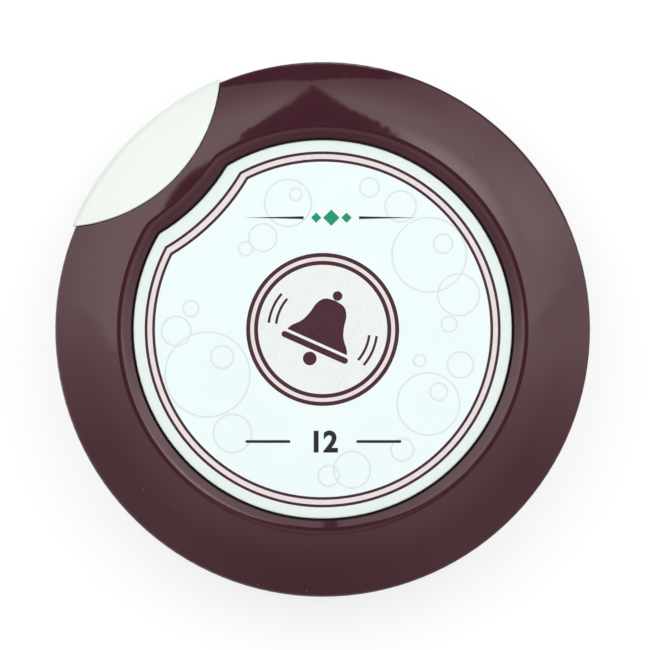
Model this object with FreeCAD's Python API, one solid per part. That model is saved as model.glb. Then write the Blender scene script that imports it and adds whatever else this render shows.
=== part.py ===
import FreeCAD, Part
import math
import os

from FreeCAD import Vector

# Round table call button. Lengths are millimetres and angles are degrees round the upright axis.
# The origin is the centre of the underside, +Z is up, +X is to the right of somebody who looks
# down on the push face, and the indicator lens lies at the upper left.

# Domed ring of the top housing
body_radius = 31.0
ring_width = 9.16
side_draft_width = 0.1
crown_radius = 25.0
crown_level_width = 0.34
edge_rounding_radius = 0.4
shell_wall = 1.8
seam_groove_height = 0.3
seam_groove_depth = 0.6
lens_corner_radius = 0.25

# Push face and its opening
notch_depth = 1.4
face_corner_radius = 1.0
notch_angle = 135.0
face_gap = 0.3
face_recess_depth = 0.8
bevel_width = 1.4
bevel_height = 0.375
crest_rounding_radius = 2.5
skirt_wall = 1.3
face_plate_thickness = 1.0
face_plate_rounding_radius = 0.15
graphic_thickness = 0.15

# Indicator lens
lens_radius = 18.6
lens_width = 6.6
lens_gap = 0.12
lens_proud_width = 0.3
lens_rounding_radius = 0.8
lens_edge_rounding_radius = 0.15
lens_thickness = 2.85
lens_flange_width = 1.2
lens_fit_gap = 0.05
lens_sill_height = 0.9
light_pipe_radius = 1.5
light_pipe_gap = 0.3

# Base plate and the pad under it
pad_thickness = 0.8
pad_recess_depth = 0.3
pad_edge_width = 1.1
pad_width = 9.0
pad_side_gap = 0.3
base_thickness = 1.4
base_side_gap = 0.4
base_rim_width = 1.0
base_rim_height = 0.7
table_screw_hole_radius = 1.7
table_screw_edge_gap = 1.7

# Bayonet between base plate and bottom housing
bayonet_wall = 1.2
lug_count = 3
lug_angle = 24.0
lug_width = 1.4
lug_thickness = 1.0
lug_gap = 0.1
lug_top_gap = 0.3
lug_side_gap = 0.2
ledge_side_gap = 0.25
ledge_thickness = 0.9
ledge_gap = 0.3
collar_wall = 1.2
collar_screw_gap = 1.3
entry_angle = 28.0
twist_angle = 30.0
stop_angle = 4.0
stop_angle_gap = 0.5

# Bottom housing
floor_thickness = 1.4
bottom_wall = 1.3
bottom_taper_width = 1.1
bottom_rounding_radius = 0.5
edge_height = 0.9
spigot_height = 1.2
spigot_wall = 0.9
spigot_gap = 0.1
spigot_lens_gap = 0.3
spigot_boss_gap = 0.15
battery_opening_gap = 0.6

# Screws that close the housing
housing_screw_angles = (45.0, 225.0, 315.0)
housing_screw_radius = 1.1
housing_screw_length = 8.0
housing_screw_head_radius = 2.0
housing_screw_head_height = 1.5
housing_screw_hole_gap = 0.1
housing_screw_side_gap = 0.3
housing_boss_radius = 2.3
thread_bite_depth = 0.2
pilot_end_gap = 0.3
screw_recess_radius = 0.9
screw_recess_depth = 0.7
screw_recess_width = 0.45

# Circuit board and the screws that hold it
board_thickness = 1.2
board_side_gap = 0.6
lobe_gap = 0.55
lobe_side_width = 1.75
post_angles = (45.0, 165.0, 285.0)
post_edge_width = 3.3
post_radius = 2.2
board_screw_radius = 0.85
board_screw_length = 4.5
board_screw_head_radius = 1.6
board_screw_head_height = 1.1
board_screw_hole_gap = 0.15

# Key switch
switch_width = 6.0
switch_base_height = 3.2
switch_base_wall = 0.9
switch_cavity_depth = 1.4
switch_cover_thickness = 0.3
switch_tab_thickness = 0.2
switch_tab_width = 3.4
switch_tab_length = 2.0
switch_height = 4.3
stem_shoulder_width = 0.25
stem_flange_gap = 0.15
stem_flange_thickness = 0.5
stem_hole_gap = 0.1
stem_top_gap = 0.05
dome_side_gap = 0.2
dome_height = 0.5
dome_thickness = 0.08
dome_seat_gap = 0.01
switch_leg_edge_width = 0.75
switch_leg_width = 0.7
switch_leg_thickness = 0.2
switch_leg_height = 0.9
switch_leg_reach_length = 0.3
switch_leg_foot_length = 0.8

# Button cap, its hooks, guide pins and springs
cap_thickness = 1.3
cap_boss_radius = 2.5
cap_boss_length = 0.48
press_travel_length = 0.6
stem_travel_length = 0.25
press_end_gap = 0.02
stop_rib_height = 0.7
stop_rib_width = 1.0
stop_rib_edge_width = 1.14
stop_rib_angle = 16.0
stop_gap = 0.05
deck_thickness = 1.0
switch_hole_gap = 0.5
hook_angles = (75.0, 195.0, 315.0)
hook_edge_width = 2.84
hook_width = 3.0
hook_thickness = 1.2
hook_barb_width = 0.7
hook_barb_height = 0.95
hook_gap = 0.05
hook_slot_gap = 0.3
guide_angles = (15.0, 135.0, 255.0)
guide_edge_width = 4.94
guide_pin_radius = 1.0
guide_pin_gap = 0.1
cup_floor_thickness = 0.8
cup_wall = 0.8
cup_gap = 0.3
spring_length = 3.15
spring_coil_radius = 1.55
spring_wire_radius = 0.175
spring_turns = 3.5
spring_seat_gap = 0.01

# Battery holder and coin cell
cell_radius = 10.0
cell_height = 3.2
cell_gap = 0.2
cell_wall = 0.25
cell_gasket_wall = 0.6
cell_cap_wall = 0.55
cell_cap_step_height = 0.15
separator_thickness = 0.1
cathode_thickness = 1.5
holder_wall = 1.6
holder_roof_thickness = 1.0
holder_base_gap = 0.2
holder_claw_thickness = 0.7
holder_claw_width = 0.7
holder_claw_angle = 20.0
holder_claw_angles = (60.0, 180.0, 300.0)
claw_cell_gap = 0.1
holder_notch_angle = 24.0
holder_notch_height = 2.9
holder_peg_radius = 0.6
holder_peg_edge_width = 1.0
holder_peg_rise_height = 0.3
holder_peg_gap = 0.05
contact_thickness = 0.2
contact_width = 3.0
contact_gap = 0.05
contact_tab_width = 1.2
contact_tab_rise_height = 0.6
contact_slot_gap = 0.1
contact_angle = 90.0
contact_pocket_depth = 0.8
negative_contact_length = 12.0
negative_tab_edge_width = 3.0

# Indicator LEDs
led_gap = 3.5
led_edge_gap = 1.8
led_length = 3.5
led_width = 2.8
led_height = 1.9
led_wall = 0.2
led_cup_depth = 0.8

# Parts soldered to the board, placed by shares of the board's radius
chip_end_width = 0.425
chip_width = 4.4
chip_height = 0.9
chip_standoff_height = 0.1
chip_pin_count = 14
chip_pin_width = 0.25
chip_pin_gap = 0.4
chip_pin_thickness = 0.12
chip_pin_height = 0.55
chip_pin_reach_length = 0.3
chip_pin_foot_length = 0.5
chip_place_shares = (-0.42, -0.40)
saw_width = 3.8
saw_height = 1.1
saw_place_shares = (0.44, 0.26)
transistor_length = 2.9
transistor_width = 1.3
transistor_height = 1.0
transistor_place_shares = (0.70, -0.12)
resistor_length = 2.0
resistor_width = 1.25
resistor_height = 0.5
resistor_place_shares = (
    (-0.62, 0.02), (-0.52, 0.42), (0.48, -0.50),
    (0.22, 0.58), (0.66, 0.08), (0.84, 0.0),
)
capacitor_length = 2.0
capacitor_width = 1.25
capacitor_height = 0.85
capacitor_place_shares = (
    (-0.30, 0.50), (-0.62, -0.14), (-0.10, -0.82),
    (0.40, 0.68), (0.86, 0.26), (0.74, -0.30),
)
coil_radius = 0.95
coil_wire_radius = 0.2
coil_turn_gap = 0.45
coil_full_turn_count = 4
coil_board_gap = 0.05
coil_place_shares = (0.21, -0.41)
antenna_width = 0.6
antenna_edge_gap = 0.2
antenna_thickness = 0.05
antenna_start_angle = 175.0
antenna_sweep = 280.0

# Overrun of every cutting tool past the face that it cuts
overrun = 1.0

# Heights, from the table upwards
base_bottom = pad_thickness - pad_recess_depth
base_top = base_bottom + base_thickness
ledge_bottom = base_top + ledge_gap
ledge_top = ledge_bottom + ledge_thickness
lug_bottom = ledge_top + lug_gap
lug_top = lug_bottom + lug_thickness
floor_bottom = lug_top + lug_top_gap
seam_height = floor_bottom + floor_thickness
holder_bottom = base_top + holder_base_gap
claw_top = holder_bottom + holder_claw_thickness
cell_bottom = claw_top + claw_cell_gap
cell_top = cell_bottom + cell_height
holder_ceiling = cell_top + contact_thickness + 2 * contact_gap
board_bottom = holder_ceiling + holder_roof_thickness
board_top = board_bottom + board_thickness
switch_cover_bottom = board_top + switch_base_height
switch_cover_top = switch_cover_bottom + switch_cover_thickness
stem_top = board_top + switch_height
stem_gap = press_travel_length - stem_travel_length + press_end_gap
cap_bottom = stem_top + stem_gap + cap_boss_length
cap_top = cap_bottom + cap_thickness
graphic_top = cap_top + graphic_thickness
face_top = graphic_top + face_plate_thickness
crown_height = face_top + face_recess_depth
crown_centre_height = crown_height - crown_radius
deck_top = cap_bottom - press_travel_length - stop_rib_height - stop_gap
deck_bottom = deck_top - deck_thickness
cup_floor_top = cap_bottom - spring_length
cup_floor_bottom = cup_floor_top - cup_floor_thickness

# Radii and places that follow from the ones above
face_radius = body_radius - ring_width
crown_level_radius = face_radius - crown_level_width
notch_centre_radius = body_radius - lens_width + lens_radius
lens_bar_width = ring_width + notch_depth - lens_width
notch_radius = lens_radius + lens_bar_width
bottom_top_radius = body_radius - seam_groove_depth
bottom_edge_radius = bottom_top_radius - bottom_taper_width
bottom_inner_radius = bottom_edge_radius - bottom_wall
base_radius = bottom_inner_radius - base_side_gap
pad_outer_radius = base_radius - pad_edge_width
pad_inner_radius = pad_outer_radius - pad_width
spigot_outer_radius = body_radius - shell_wall - spigot_gap
housing_screw_circle_radius = bottom_inner_radius - housing_screw_side_gap - housing_screw_head_radius
collar_outer_radius = housing_screw_circle_radius - housing_screw_head_radius - collar_screw_gap
collar_inner_radius = collar_outer_radius - collar_wall
lug_outer_radius = collar_inner_radius - lug_side_gap
bayonet_radius = lug_outer_radius - lug_width
ledge_inner_radius = bayonet_radius + ledge_side_gap
table_screw_circle_radius = bayonet_radius - bayonet_wall - table_screw_hole_radius - table_screw_edge_gap
board_radius = housing_screw_circle_radius - housing_boss_radius - board_side_gap
post_circle_radius = board_radius - post_edge_width
hook_circle_radius = face_radius - hook_edge_width
stop_rib_circle_radius = face_radius - stop_rib_edge_width
guide_circle_radius = notch_centre_radius - notch_radius - guide_edge_width
lobe_width = 2 * led_length + led_gap + 2 * lobe_side_width
lobe_radius = body_radius - lens_thickness - lobe_gap
led_circle_radius = lobe_radius - led_edge_gap
holder_inner_radius = cell_radius + cell_gap
holder_radius = holder_inner_radius + holder_wall
battery_opening_radius = holder_radius + battery_opening_gap
holder_peg_circle_radius = cell_radius - holder_peg_edge_width
negative_tab_circle_radius = cell_radius - negative_tab_edge_width
cell_cap_radius = cell_radius - cell_wall - cell_gasket_wall - cell_cap_wall
switch_cavity_radius = switch_width / 2 - switch_base_wall
stem_flange_radius = switch_cavity_radius - stem_flange_gap
stem_radius = stem_flange_radius - stem_shoulder_width
dome_radius = switch_cavity_radius - dome_side_gap
switch_leg_spread_width = switch_width - 2 * switch_leg_edge_width
led_cup_radius = led_width / 2 - led_wall
spring_rise_height = spring_length - 2 * spring_seat_gap - 2 * spring_wire_radius
spring_pitch = spring_rise_height / spring_turns
coil_pitch = 2 * coil_wire_radius + coil_turn_gap
chip_pin_pitch = chip_pin_width + chip_pin_gap
chip_length = chip_pin_count / 2 * chip_pin_pitch - chip_pin_gap + 2 * chip_end_width
cup_inner_radius = spring_coil_radius + spring_wire_radius + cup_gap
cup_outer_radius = cup_inner_radius + cup_wall
flange_depth = shell_wall + lens_fit_gap

up = Vector(0, 0, 1)
axis_point = Vector()
full_turn = 360.0
quarter_turn = 90.0


def polar(radius, angle, height=0.0):
    """Point at a radius and an angle round the upright axis."""
    turn = math.radians(angle)
    return Vector(radius * math.cos(turn), radius * math.sin(turn), height)


def ray(radius, angle):
    """Point of an upright section, at a radius and an angle from the upright."""
    turn = math.radians(angle)
    return Vector(radius * math.sin(turn), 0, radius * math.cos(turn))


def cylinder(radius, bottom, top, centre=axis_point):
    """Upright cylinder between two heights."""
    return Part.makeCylinder(radius, top - bottom, Vector(centre.x, centre.y, bottom))


def ring(inner, outer, bottom, top, centre=axis_point):
    """Upright tube between two heights."""
    bore = cylinder(inner, bottom - overrun, top + overrun, centre)
    return cylinder(outer, bottom, top, centre).cut(bore)


def turned(shape, angle, centre=axis_point):
    """Copy of a shape, turned about the upright line through its own origin and moved to a centre."""
    copy = shape.copy()
    copy.rotate(axis_point, up, angle)
    copy.translate(centre)
    return copy


def block(length, width, bottom, top, centre=axis_point, angle=0.0):
    """Upright block centred on a point, with its length at an angle."""
    box = Part.makeBox(length, width, top - bottom, Vector(-length / 2, -width / 2, bottom))
    return turned(box, angle, Vector(centre.x, centre.y, 0))


def sector(inner, outer, bottom, top, middle, width):
    """Part of an upright tube that spans an angle about a middle direction."""
    start = middle - width / 2
    end = middle + width / 2
    edges = [
        Part.Arc(polar(outer, start), polar(outer, middle), polar(outer, end)).toShape(),
        Part.LineSegment(polar(outer, end), polar(inner, end)).toShape(),
        Part.Arc(polar(inner, end), polar(inner, middle), polar(inner, start)).toShape(),
        Part.LineSegment(polar(inner, start), polar(outer, start)).toShape(),
    ]
    solid = Part.Face(Part.Wire(edges)).extrude(up * (top - bottom))
    solid.translate(up * bottom)
    return solid


def extruded(points, width):
    """Flat outline in the XZ plane, extruded to both sides along Y."""
    face = Part.Face(Part.makePolygon(points + points[:1]))
    solid = face.extrude(Vector(0, width, 0))
    solid.translate(Vector(0, -width / 2, 0))
    return solid


def turned_profile(points):
    """Solid of revolution about the upright axis, from points given as radius and height."""
    corners = [Vector(radius, 0, height) for radius, height in points]
    face = Part.Face(Part.makePolygon(corners + corners[:1]))
    return face.revolve(axis_point, up, full_turn)


def fused(shapes):
    """Several overlapping solids as one."""
    return shapes[0].fuse(shapes[1:]).removeSplitter()


def towards(start, target, distance):
    """Point at a distance from a start, on the line to a target."""
    return start + (target - start).normalize() * distance


def notched_outline(radius, notch, corner, height):
    """Circle about the axis with a round bite out of its upper left, and rounded corners."""
    axis = axis_point + up * height
    notch_centre = polar(notch_centre_radius, notch_angle, height)
    near = radius - corner
    far = notch + corner
    cosine = (near ** 2 + notch_centre_radius ** 2 - far ** 2) / (2 * near * notch_centre_radius)
    swing = math.degrees(math.acos(cosine))
    rounds = []
    for side in (1, -1):
        centre = polar(near, notch_angle + side * swing, height)
        on_circle = towards(axis, centre, radius)
        on_notch = towards(centre, notch_centre, corner)
        between = towards(centre, (on_circle + on_notch) / 2, corner)
        rounds.append((on_circle, between, on_notch))
    (left_start, left_middle, left_end), (right_start, right_middle, right_end) = rounds
    far_side = polar(radius, notch_angle + full_turn / 2, height)
    half_way = (swing + full_turn / 2) / 2
    arcs = [
        (left_start, polar(radius, notch_angle + half_way, height), far_side),
        (far_side, polar(radius, notch_angle - half_way, height), right_start),
        (right_start, right_middle, right_end),
        (right_end, towards(notch_centre, axis, notch), left_end),
        (left_end, left_middle, left_start),
    ]
    return Part.Wire([Part.Arc(*points).toShape() for points in arcs])


def face_outline(offset, height):
    """Outline of the push face, moved outwards by an offset, at a height."""
    return notched_outline(face_radius + offset, notch_radius - offset, face_corner_radius + offset, height)


def prism(outline, height):
    """Upright prism on a closed outline."""
    return Part.Face(outline).extrude(up * height)


def face_prism(offset, bottom, top):
    """Upright prism on the push face's outline."""
    return prism(face_outline(offset, bottom), top - bottom)


def dome(side_top, side_bottom, rounding, depth):
    """Everything under the crown surface, moved down by a depth, and above the seam."""
    section_radius = crown_radius - depth
    centre = Vector(crown_level_radius, 0, crown_centre_height)
    reach = side_top - rounding - crown_level_radius
    rise = math.sqrt((section_radius - rounding) ** 2 - reach ** 2)
    corner = centre + Vector(reach, 0, rise)
    steep = math.degrees(math.atan2(reach, rise))
    crown_start = centre + ray(section_radius, 0)
    crown_middle = centre + ray(section_radius, steep / 2)
    crown_end = centre + ray(section_radius, steep)
    corner_middle = corner + ray(rounding, (steep + 90) / 2)
    side_start = corner + ray(rounding, 90)
    side_end = Vector(side_bottom, 0, seam_height)
    edges = [
        Part.LineSegment(up * seam_height, up * crown_start.z).toShape(),
        Part.LineSegment(up * crown_start.z, crown_start).toShape(),
        Part.Arc(crown_start, crown_middle, crown_end).toShape(),
        Part.Arc(crown_end, corner_middle, side_start).toShape(),
        Part.LineSegment(side_start, side_end).toShape(),
        Part.LineSegment(side_end, up * seam_height).toShape(),
    ]
    return Part.Face(Part.Wire(edges)).revolve(axis_point, up, full_turn)


def inner_dome(depth):
    """Hollow that leaves a wall of a given depth under the crown and behind the side."""
    side = body_radius - depth
    return dome(side, side, edge_rounding_radius, depth)


def outer_dome():
    """Solid that the top housing is cut from, with the room for the lens, above its sill, out of it."""
    whole = dome(body_radius - side_draft_width, body_radius, edge_rounding_radius, 0)
    plan = notched_outline(body_radius, lens_radius + lens_gap, lens_corner_radius, seam_height)
    sill = cylinder(body_radius, seam_height, seam_height + lens_sill_height)
    return whole.common(fused([prism(plan, crown_height), sill]))


def notch_cylinder(radius, bottom, top):
    """Upright cylinder about the centre of the notch."""
    return cylinder(radius, bottom, top, polar(notch_centre_radius, notch_angle))


def bevel_cutter():
    """Funnel that cuts the sloping lip round the push face."""
    slope = bevel_height / bevel_width
    low = face_outline(face_gap, crown_height - bevel_height)
    high = face_outline(face_gap + bevel_width + overrun, crown_height + overrun * slope)
    return Part.makeLoft([low, high], True, True)


def hook_slot(angle):
    """Slot in the deck for one hook of the button cap."""
    inner = hook_circle_radius - hook_thickness / 2 - hook_slot_gap
    outer = hook_circle_radius + hook_thickness / 2 + hook_barb_width + hook_slot_gap
    centre = polar((inner + outer) / 2, angle)
    width = hook_width + 2 * hook_slot_gap
    return block(outer - inner, width, deck_bottom - overrun, deck_top + overrun, centre, angle)


def is_crest(edge):
    """Whether an edge lies where the crown meets the sloping lip."""
    high = crown_height - bevel_height / 2
    box = edge.BoundBox
    spread = max(math.hypot(vertex.X, vertex.Y) for vertex in edge.Vertexes)
    reach = face_radius + face_gap + bevel_width
    return box.ZMin > high and spread < reach + crest_rounding_radius


def top_housing():
    """Domed ring with the skirt, deck, screw bosses, board posts and spring cups behind it."""
    half_wall = shell_wall / 2
    shell = outer_dome().cut(inner_dome(shell_wall))
    skirt = face_prism(face_gap + skirt_wall, deck_bottom, crown_height - half_wall)
    inside = inner_dome(half_wall)
    bosses = []
    for angle in housing_screw_angles:
        centre = polar(housing_screw_circle_radius, angle)
        bosses.append(cylinder(housing_boss_radius, seam_height, crown_height, centre).common(inside))
    posts = []
    for angle in post_angles:
        posts.append(cylinder(post_radius, board_top, deck_top, polar(post_circle_radius, angle)))
    cups = []
    for angle in guide_angles:
        cups.append(cylinder(cup_outer_radius, cup_floor_bottom, deck_top, polar(guide_circle_radius, angle)))
    blank = fused([shell, skirt] + bosses + posts + cups)
    groove_top = seam_height + seam_groove_height
    cutters = [
        face_prism(face_gap, deck_top, crown_height + overrun),
        bevel_cutter(),
        ring(bottom_top_radius, body_radius + overrun, seam_height - overrun, groove_top),
        cylinder(switch_hole_radius(), deck_bottom - overrun, deck_top + overrun),
    ]
    cutters += [hook_slot(angle) for angle in hook_angles]
    for angle in guide_angles:
        centre = polar(guide_circle_radius, angle)
        cutters.append(cylinder(cup_inner_radius, cup_floor_top, deck_top + overrun, centre))
        hole = guide_pin_radius + guide_pin_gap
        cutters.append(cylinder(hole, cup_floor_bottom - overrun, cup_floor_top + overrun, centre))
    for angle in housing_screw_angles:
        top = floor_bottom + housing_screw_length + pilot_end_gap
        hole = housing_screw_radius
        cutters.append(cylinder(hole, seam_height - overrun, top, polar(housing_screw_circle_radius, angle)))
    for angle in post_angles:
        top = board_bottom + board_screw_length + pilot_end_gap
        hole = board_screw_radius
        cutters.append(cylinder(hole, board_top - overrun, top, polar(post_circle_radius, angle)))
    housing = blank.cut(cutters)
    crest = [edge for edge in housing.Edges if is_crest(edge)]
    return housing.makeFillet(crest_rounding_radius, crest)


def switch_hole_radius():
    """Radius of the hole in the deck that clears the corners of the switch."""
    return math.hypot(switch_width, switch_width) / 2 + switch_hole_gap


def indicator_lens():
    """Milky leaf in the rim, with a flange under the housing and two light pipes."""
    side = body_radius + lens_proud_width
    hollow = inner_dome(lens_thickness)
    window = notch_cylinder(lens_radius, seam_height, crown_height)
    shell = dome(side, side, lens_rounding_radius, 0).common(window).cut(hollow)
    border = notch_cylinder(lens_radius + lens_flange_width, seam_height, crown_height)
    under_housing = inner_dome(flange_depth)
    flange = under_housing.common(border).cut(hollow)
    pipes = []
    for centre in led_centres():
        bottom = board_top + led_height + light_pipe_gap
        pipes.append(cylinder(light_pipe_radius, bottom, crown_height, centre).common(under_housing))
    sill_top = seam_height + lens_sill_height + lens_fit_gap
    sill = ring(body_radius - flange_depth, side + overrun, seam_height - overrun, sill_top)
    lens = fused([shell, flange] + pipes).cut(sill)
    return lens.makeFillet(lens_edge_rounding_radius, [edge for edge in lens.Edges if is_lens_rim(edge)])


def is_lens_rim(edge):
    """Whether an edge is the top of the lens's inner arc or one of its two upright corners."""
    notch_centre = polar(notch_centre_radius, notch_angle)
    on_arc = all(abs((vertex.Point - up * vertex.Z - notch_centre).Length - lens_radius) < lens_fit_gap
                 for vertex in edge.Vertexes)
    reach = body_radius - lens_rounding_radius
    outside = all(math.hypot(vertex.X, vertex.Y) > reach for vertex in edge.Vertexes)
    return on_arc and outside and edge.Length > lens_thickness


def led_centres():
    """Places of the LEDs, side by side under the lens."""
    across = polar((led_length + led_gap) / 2, notch_angle + quarter_turn)
    middle = polar(led_circle_radius, notch_angle)
    return [middle + across, middle - across]


def bottom_housing():
    """Lower shell with the battery opening, the spigot and the bayonet collar."""
    body = turned_profile([
        (battery_opening_radius, floor_bottom),
        (bottom_inner_radius, floor_bottom),
        (bottom_inner_radius, edge_height),
        (bottom_edge_radius - bottom_rounding_radius, edge_height),
        (bottom_edge_radius, edge_height + bottom_rounding_radius),
        (bottom_top_radius, seam_height),
        (battery_opening_radius, seam_height),
    ])
    spigot_top = seam_height + spigot_height
    spigot = ring(spigot_outer_radius - spigot_wall, spigot_outer_radius, seam_height, spigot_top)
    lens_room = lens_radius + lens_flange_width + spigot_lens_gap
    rooms = [notch_cylinder(lens_room, seam_height - overrun, spigot_top + overrun)]
    for angle in housing_screw_angles:
        centre = polar(housing_screw_circle_radius, angle)
        room = housing_boss_radius + spigot_boss_gap
        rooms.append(cylinder(room, seam_height - overrun, spigot_top + overrun, centre))
    spigot = spigot.cut(rooms)
    collar = ring(collar_inner_radius, collar_outer_radius, ledge_bottom, floor_bottom)
    parts = [body, spigot, collar]
    pitch = full_turn / lug_count
    inner = ledge_inner_radius
    outer = collar_inner_radius + collar_wall / 2
    for index in range(lug_count):
        lug_middle = index * pitch
        ledge_middle = lug_middle - twist_angle + pitch / 2
        ledge_width = pitch - entry_angle
        parts.append(sector(inner, outer, ledge_bottom, ledge_top, ledge_middle, ledge_width))
        step = lug_angle / 2 + stop_angle_gap + stop_angle / 2
        for stop_middle in (lug_middle + step, lug_middle - twist_angle - step):
            parts.append(sector(inner, outer, ledge_top, floor_bottom, stop_middle, stop_angle))
    hole = housing_screw_radius + housing_screw_hole_gap
    holes = []
    for angle in housing_screw_angles:
        centre = polar(housing_screw_circle_radius, angle)
        holes.append(cylinder(hole, floor_bottom - overrun, seam_height + overrun, centre))
    return fused(parts).cut(holes)


def base_plate():
    """Plate that stays on the table, with the ring of lugs that the housing twists onto."""
    plate = cylinder(base_radius, base_bottom, base_top)
    rim = ring(base_radius - base_rim_width, base_radius, base_bottom, base_top + base_rim_height)
    wall = ring(bayonet_radius - bayonet_wall, bayonet_radius, base_bottom, lug_top)
    parts = [plate, rim, wall]
    for index in range(lug_count):
        middle = index * full_turn / lug_count
        inner = bayonet_radius - bayonet_wall / 2
        parts.append(sector(inner, lug_outer_radius, lug_bottom, lug_top, middle, lug_angle))
    seat_inner = pad_inner_radius - pad_side_gap
    seat_outer = pad_outer_radius + pad_side_gap
    pad_seat = ring(seat_inner, seat_outer, base_bottom - overrun, base_bottom + pad_recess_depth)
    holes = [pad_seat]
    for side in (1, -1):
        centre = Vector(side * table_screw_circle_radius, 0, 0)
        holes.append(cylinder(table_screw_hole_radius, base_bottom - overrun, base_top + overrun, centre))
    return fused(parts).cut(holes)


def base_pad():
    """Ring of adhesive foam that the plate stands on."""
    return ring(pad_inner_radius, pad_outer_radius, 0, pad_thickness)


def screw(radius, length, head_radius, head_height):
    """Pan-head screw that points up, with its head's seat at height zero."""
    head = cylinder(head_radius, -head_height, 0)
    rounding = head_height / 3
    bottom_edges = [edge for edge in head.Edges if edge.BoundBox.ZMax < -head_height / 2]
    head = head.makeFillet(rounding, bottom_edges)
    point = radius * 2
    shank = turned_profile([
        (0, 0),
        (radius, 0),
        (radius, length - point),
        (radius / 3, length),
        (0, length),
    ])
    depth = head_height * screw_recess_depth / housing_screw_head_height
    arm = head_radius * screw_recess_radius / housing_screw_head_radius
    slot = block(2 * arm, screw_recess_width, -head_height - overrun, -head_height + depth)
    cross = [slot, turned(slot, 90)]
    return head.fuse(shank).cut(cross)


def housing_screws():
    """Three tapping screws that close the two housings."""
    radius = housing_screw_radius - thread_bite_depth / 4
    one = screw(radius, housing_screw_length, housing_screw_head_radius, housing_screw_head_height)
    places = [polar(housing_screw_circle_radius, angle, floor_bottom) for angle in housing_screw_angles]
    return Part.makeCompound([turned(one, 0, place) for place in places])


def board_screws():
    """Three small screws that hold the board to its posts."""
    radius = board_screw_radius - thread_bite_depth / 4
    one = screw(radius, board_screw_length, board_screw_head_radius, board_screw_head_height)
    places = [polar(post_circle_radius, angle, board_bottom) for angle in post_angles]
    return Part.makeCompound([turned(one, 0, place) for place in places])


def board_place(shares):
    """Point on top of the board, from shares of its radius."""
    across, along = shares
    return Vector(across * board_radius, along * board_radius, board_top)


def circuit_board():
    """Round board with a lobe under the lens."""
    disc = cylinder(board_radius, board_bottom, board_top)
    lobe = block(2 * lobe_radius, lobe_width, board_bottom, board_top, axis_point, notch_angle)
    edge = cylinder(lobe_radius, board_bottom - overrun, board_top + overrun)
    reach = lobe_radius + overrun
    lens_side = sector(holder_radius, reach, board_bottom, board_top, notch_angle, quarter_turn)
    lobe = lobe.common(edge).common(lens_side)
    holes = []
    for angle in post_angles:
        hole = board_screw_radius + board_screw_hole_gap
        centre = polar(post_circle_radius, angle)
        holes.append(cylinder(hole, board_bottom - overrun, board_top + overrun, centre))
    for centre in holder_peg_centres():
        hole = holder_peg_radius + holder_peg_gap
        holes.append(cylinder(hole, board_bottom - overrun, board_top + overrun, centre))
    holes += contact_slots(board_bottom - overrun, board_top + overrun)
    return fused([disc, lobe]).cut(holes)


def holder_peg_centres():
    """Places of the two pegs that locate the battery holder."""
    return [polar(holder_peg_circle_radius, 0), polar(holder_peg_circle_radius, 180)]


def positive_tab_circle():
    """Radius at which the positive contact's tab rises through the board."""
    return holder_inner_radius + contact_thickness / 2 + contact_gap


def contact_slots(bottom, top):
    """Slots for the tabs of both contacts."""
    length = contact_thickness + 2 * contact_slot_gap
    width = contact_tab_width + 2 * contact_slot_gap
    positive = block(length, width, bottom, top, polar(positive_tab_circle(), contact_angle), contact_angle)
    opposite = contact_angle + 180
    negative = block(length, width, bottom, top, polar(negative_tab_circle_radius, opposite), opposite)
    return [positive, negative]


def battery_holder():
    """Upside-down cup that keeps the coin cell, with claws, a finger notch and two pegs."""
    wall = ring(holder_inner_radius, holder_radius, holder_bottom, board_bottom)
    roof = cylinder(holder_radius, holder_ceiling, board_bottom)
    parts = [wall, roof]
    claw_inner = holder_inner_radius - holder_claw_width
    claw_outer = holder_inner_radius + holder_wall / 2
    for angle in holder_claw_angles:
        parts.append(sector(claw_inner, claw_outer, holder_bottom, claw_top, angle, holder_claw_angle))
    for centre in holder_peg_centres():
        parts.append(cylinder(holder_peg_radius, holder_ceiling, board_top + holder_peg_rise_height, centre))
    inner = holder_inner_radius - holder_wall / 2
    outer = holder_radius + overrun
    notch_bottom = holder_bottom - overrun
    notch_top = holder_bottom + holder_notch_height
    notch = sector(inner, outer, notch_bottom, notch_top, 0, holder_notch_angle)
    pocket_outer = holder_inner_radius + contact_pocket_depth
    pocket_width = math.degrees((contact_width + 2 * contact_slot_gap) / holder_inner_radius)
    pocket = sector(inner, pocket_outer, cell_bottom, holder_ceiling, contact_angle, pocket_width)
    slots = contact_slots(holder_ceiling - overrun, board_bottom + overrun)
    return fused(parts).cut([notch, pocket] + slots)


def positive_contact():
    """Leaf against the side of the cell, with a tab soldered to the board."""
    inner = positive_tab_circle() - contact_thickness / 2
    outer = positive_tab_circle() + contact_thickness / 2
    width = math.degrees(contact_width / holder_inner_radius)
    leaf = sector(inner, outer, cell_bottom + cell_height / 4, cell_top, contact_angle, width)
    touch = sector(cell_radius, outer, cell_bottom + cell_height / 2, cell_top - cell_height / 4,
                   contact_angle, width / 3)
    centre = polar(positive_tab_circle(), contact_angle)
    bottom = cell_top - contact_thickness
    top = board_top + contact_tab_rise_height
    tab = block(contact_thickness, contact_tab_width, bottom, top, centre, contact_angle)
    return fused([leaf, touch, tab])


def negative_contact():
    """Spring strip between the holder's roof and the cell's cap, with a tab soldered to the board."""
    bottom = cell_top + contact_gap
    top = bottom + contact_thickness
    opposite = contact_angle + 180
    reach = negative_tab_circle_radius + contact_thickness / 2
    middle = reach - negative_contact_length / 2
    strip = block(negative_contact_length, contact_width, bottom, top, polar(middle, opposite), opposite)
    centre = polar(negative_tab_circle_radius, opposite)
    tab_top = board_top + contact_tab_rise_height
    tab = block(contact_thickness, contact_tab_width, bottom, tab_top, centre, opposite)
    button = cylinder(contact_width / 2, cell_top, top)
    return fused([strip, tab, button])


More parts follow.
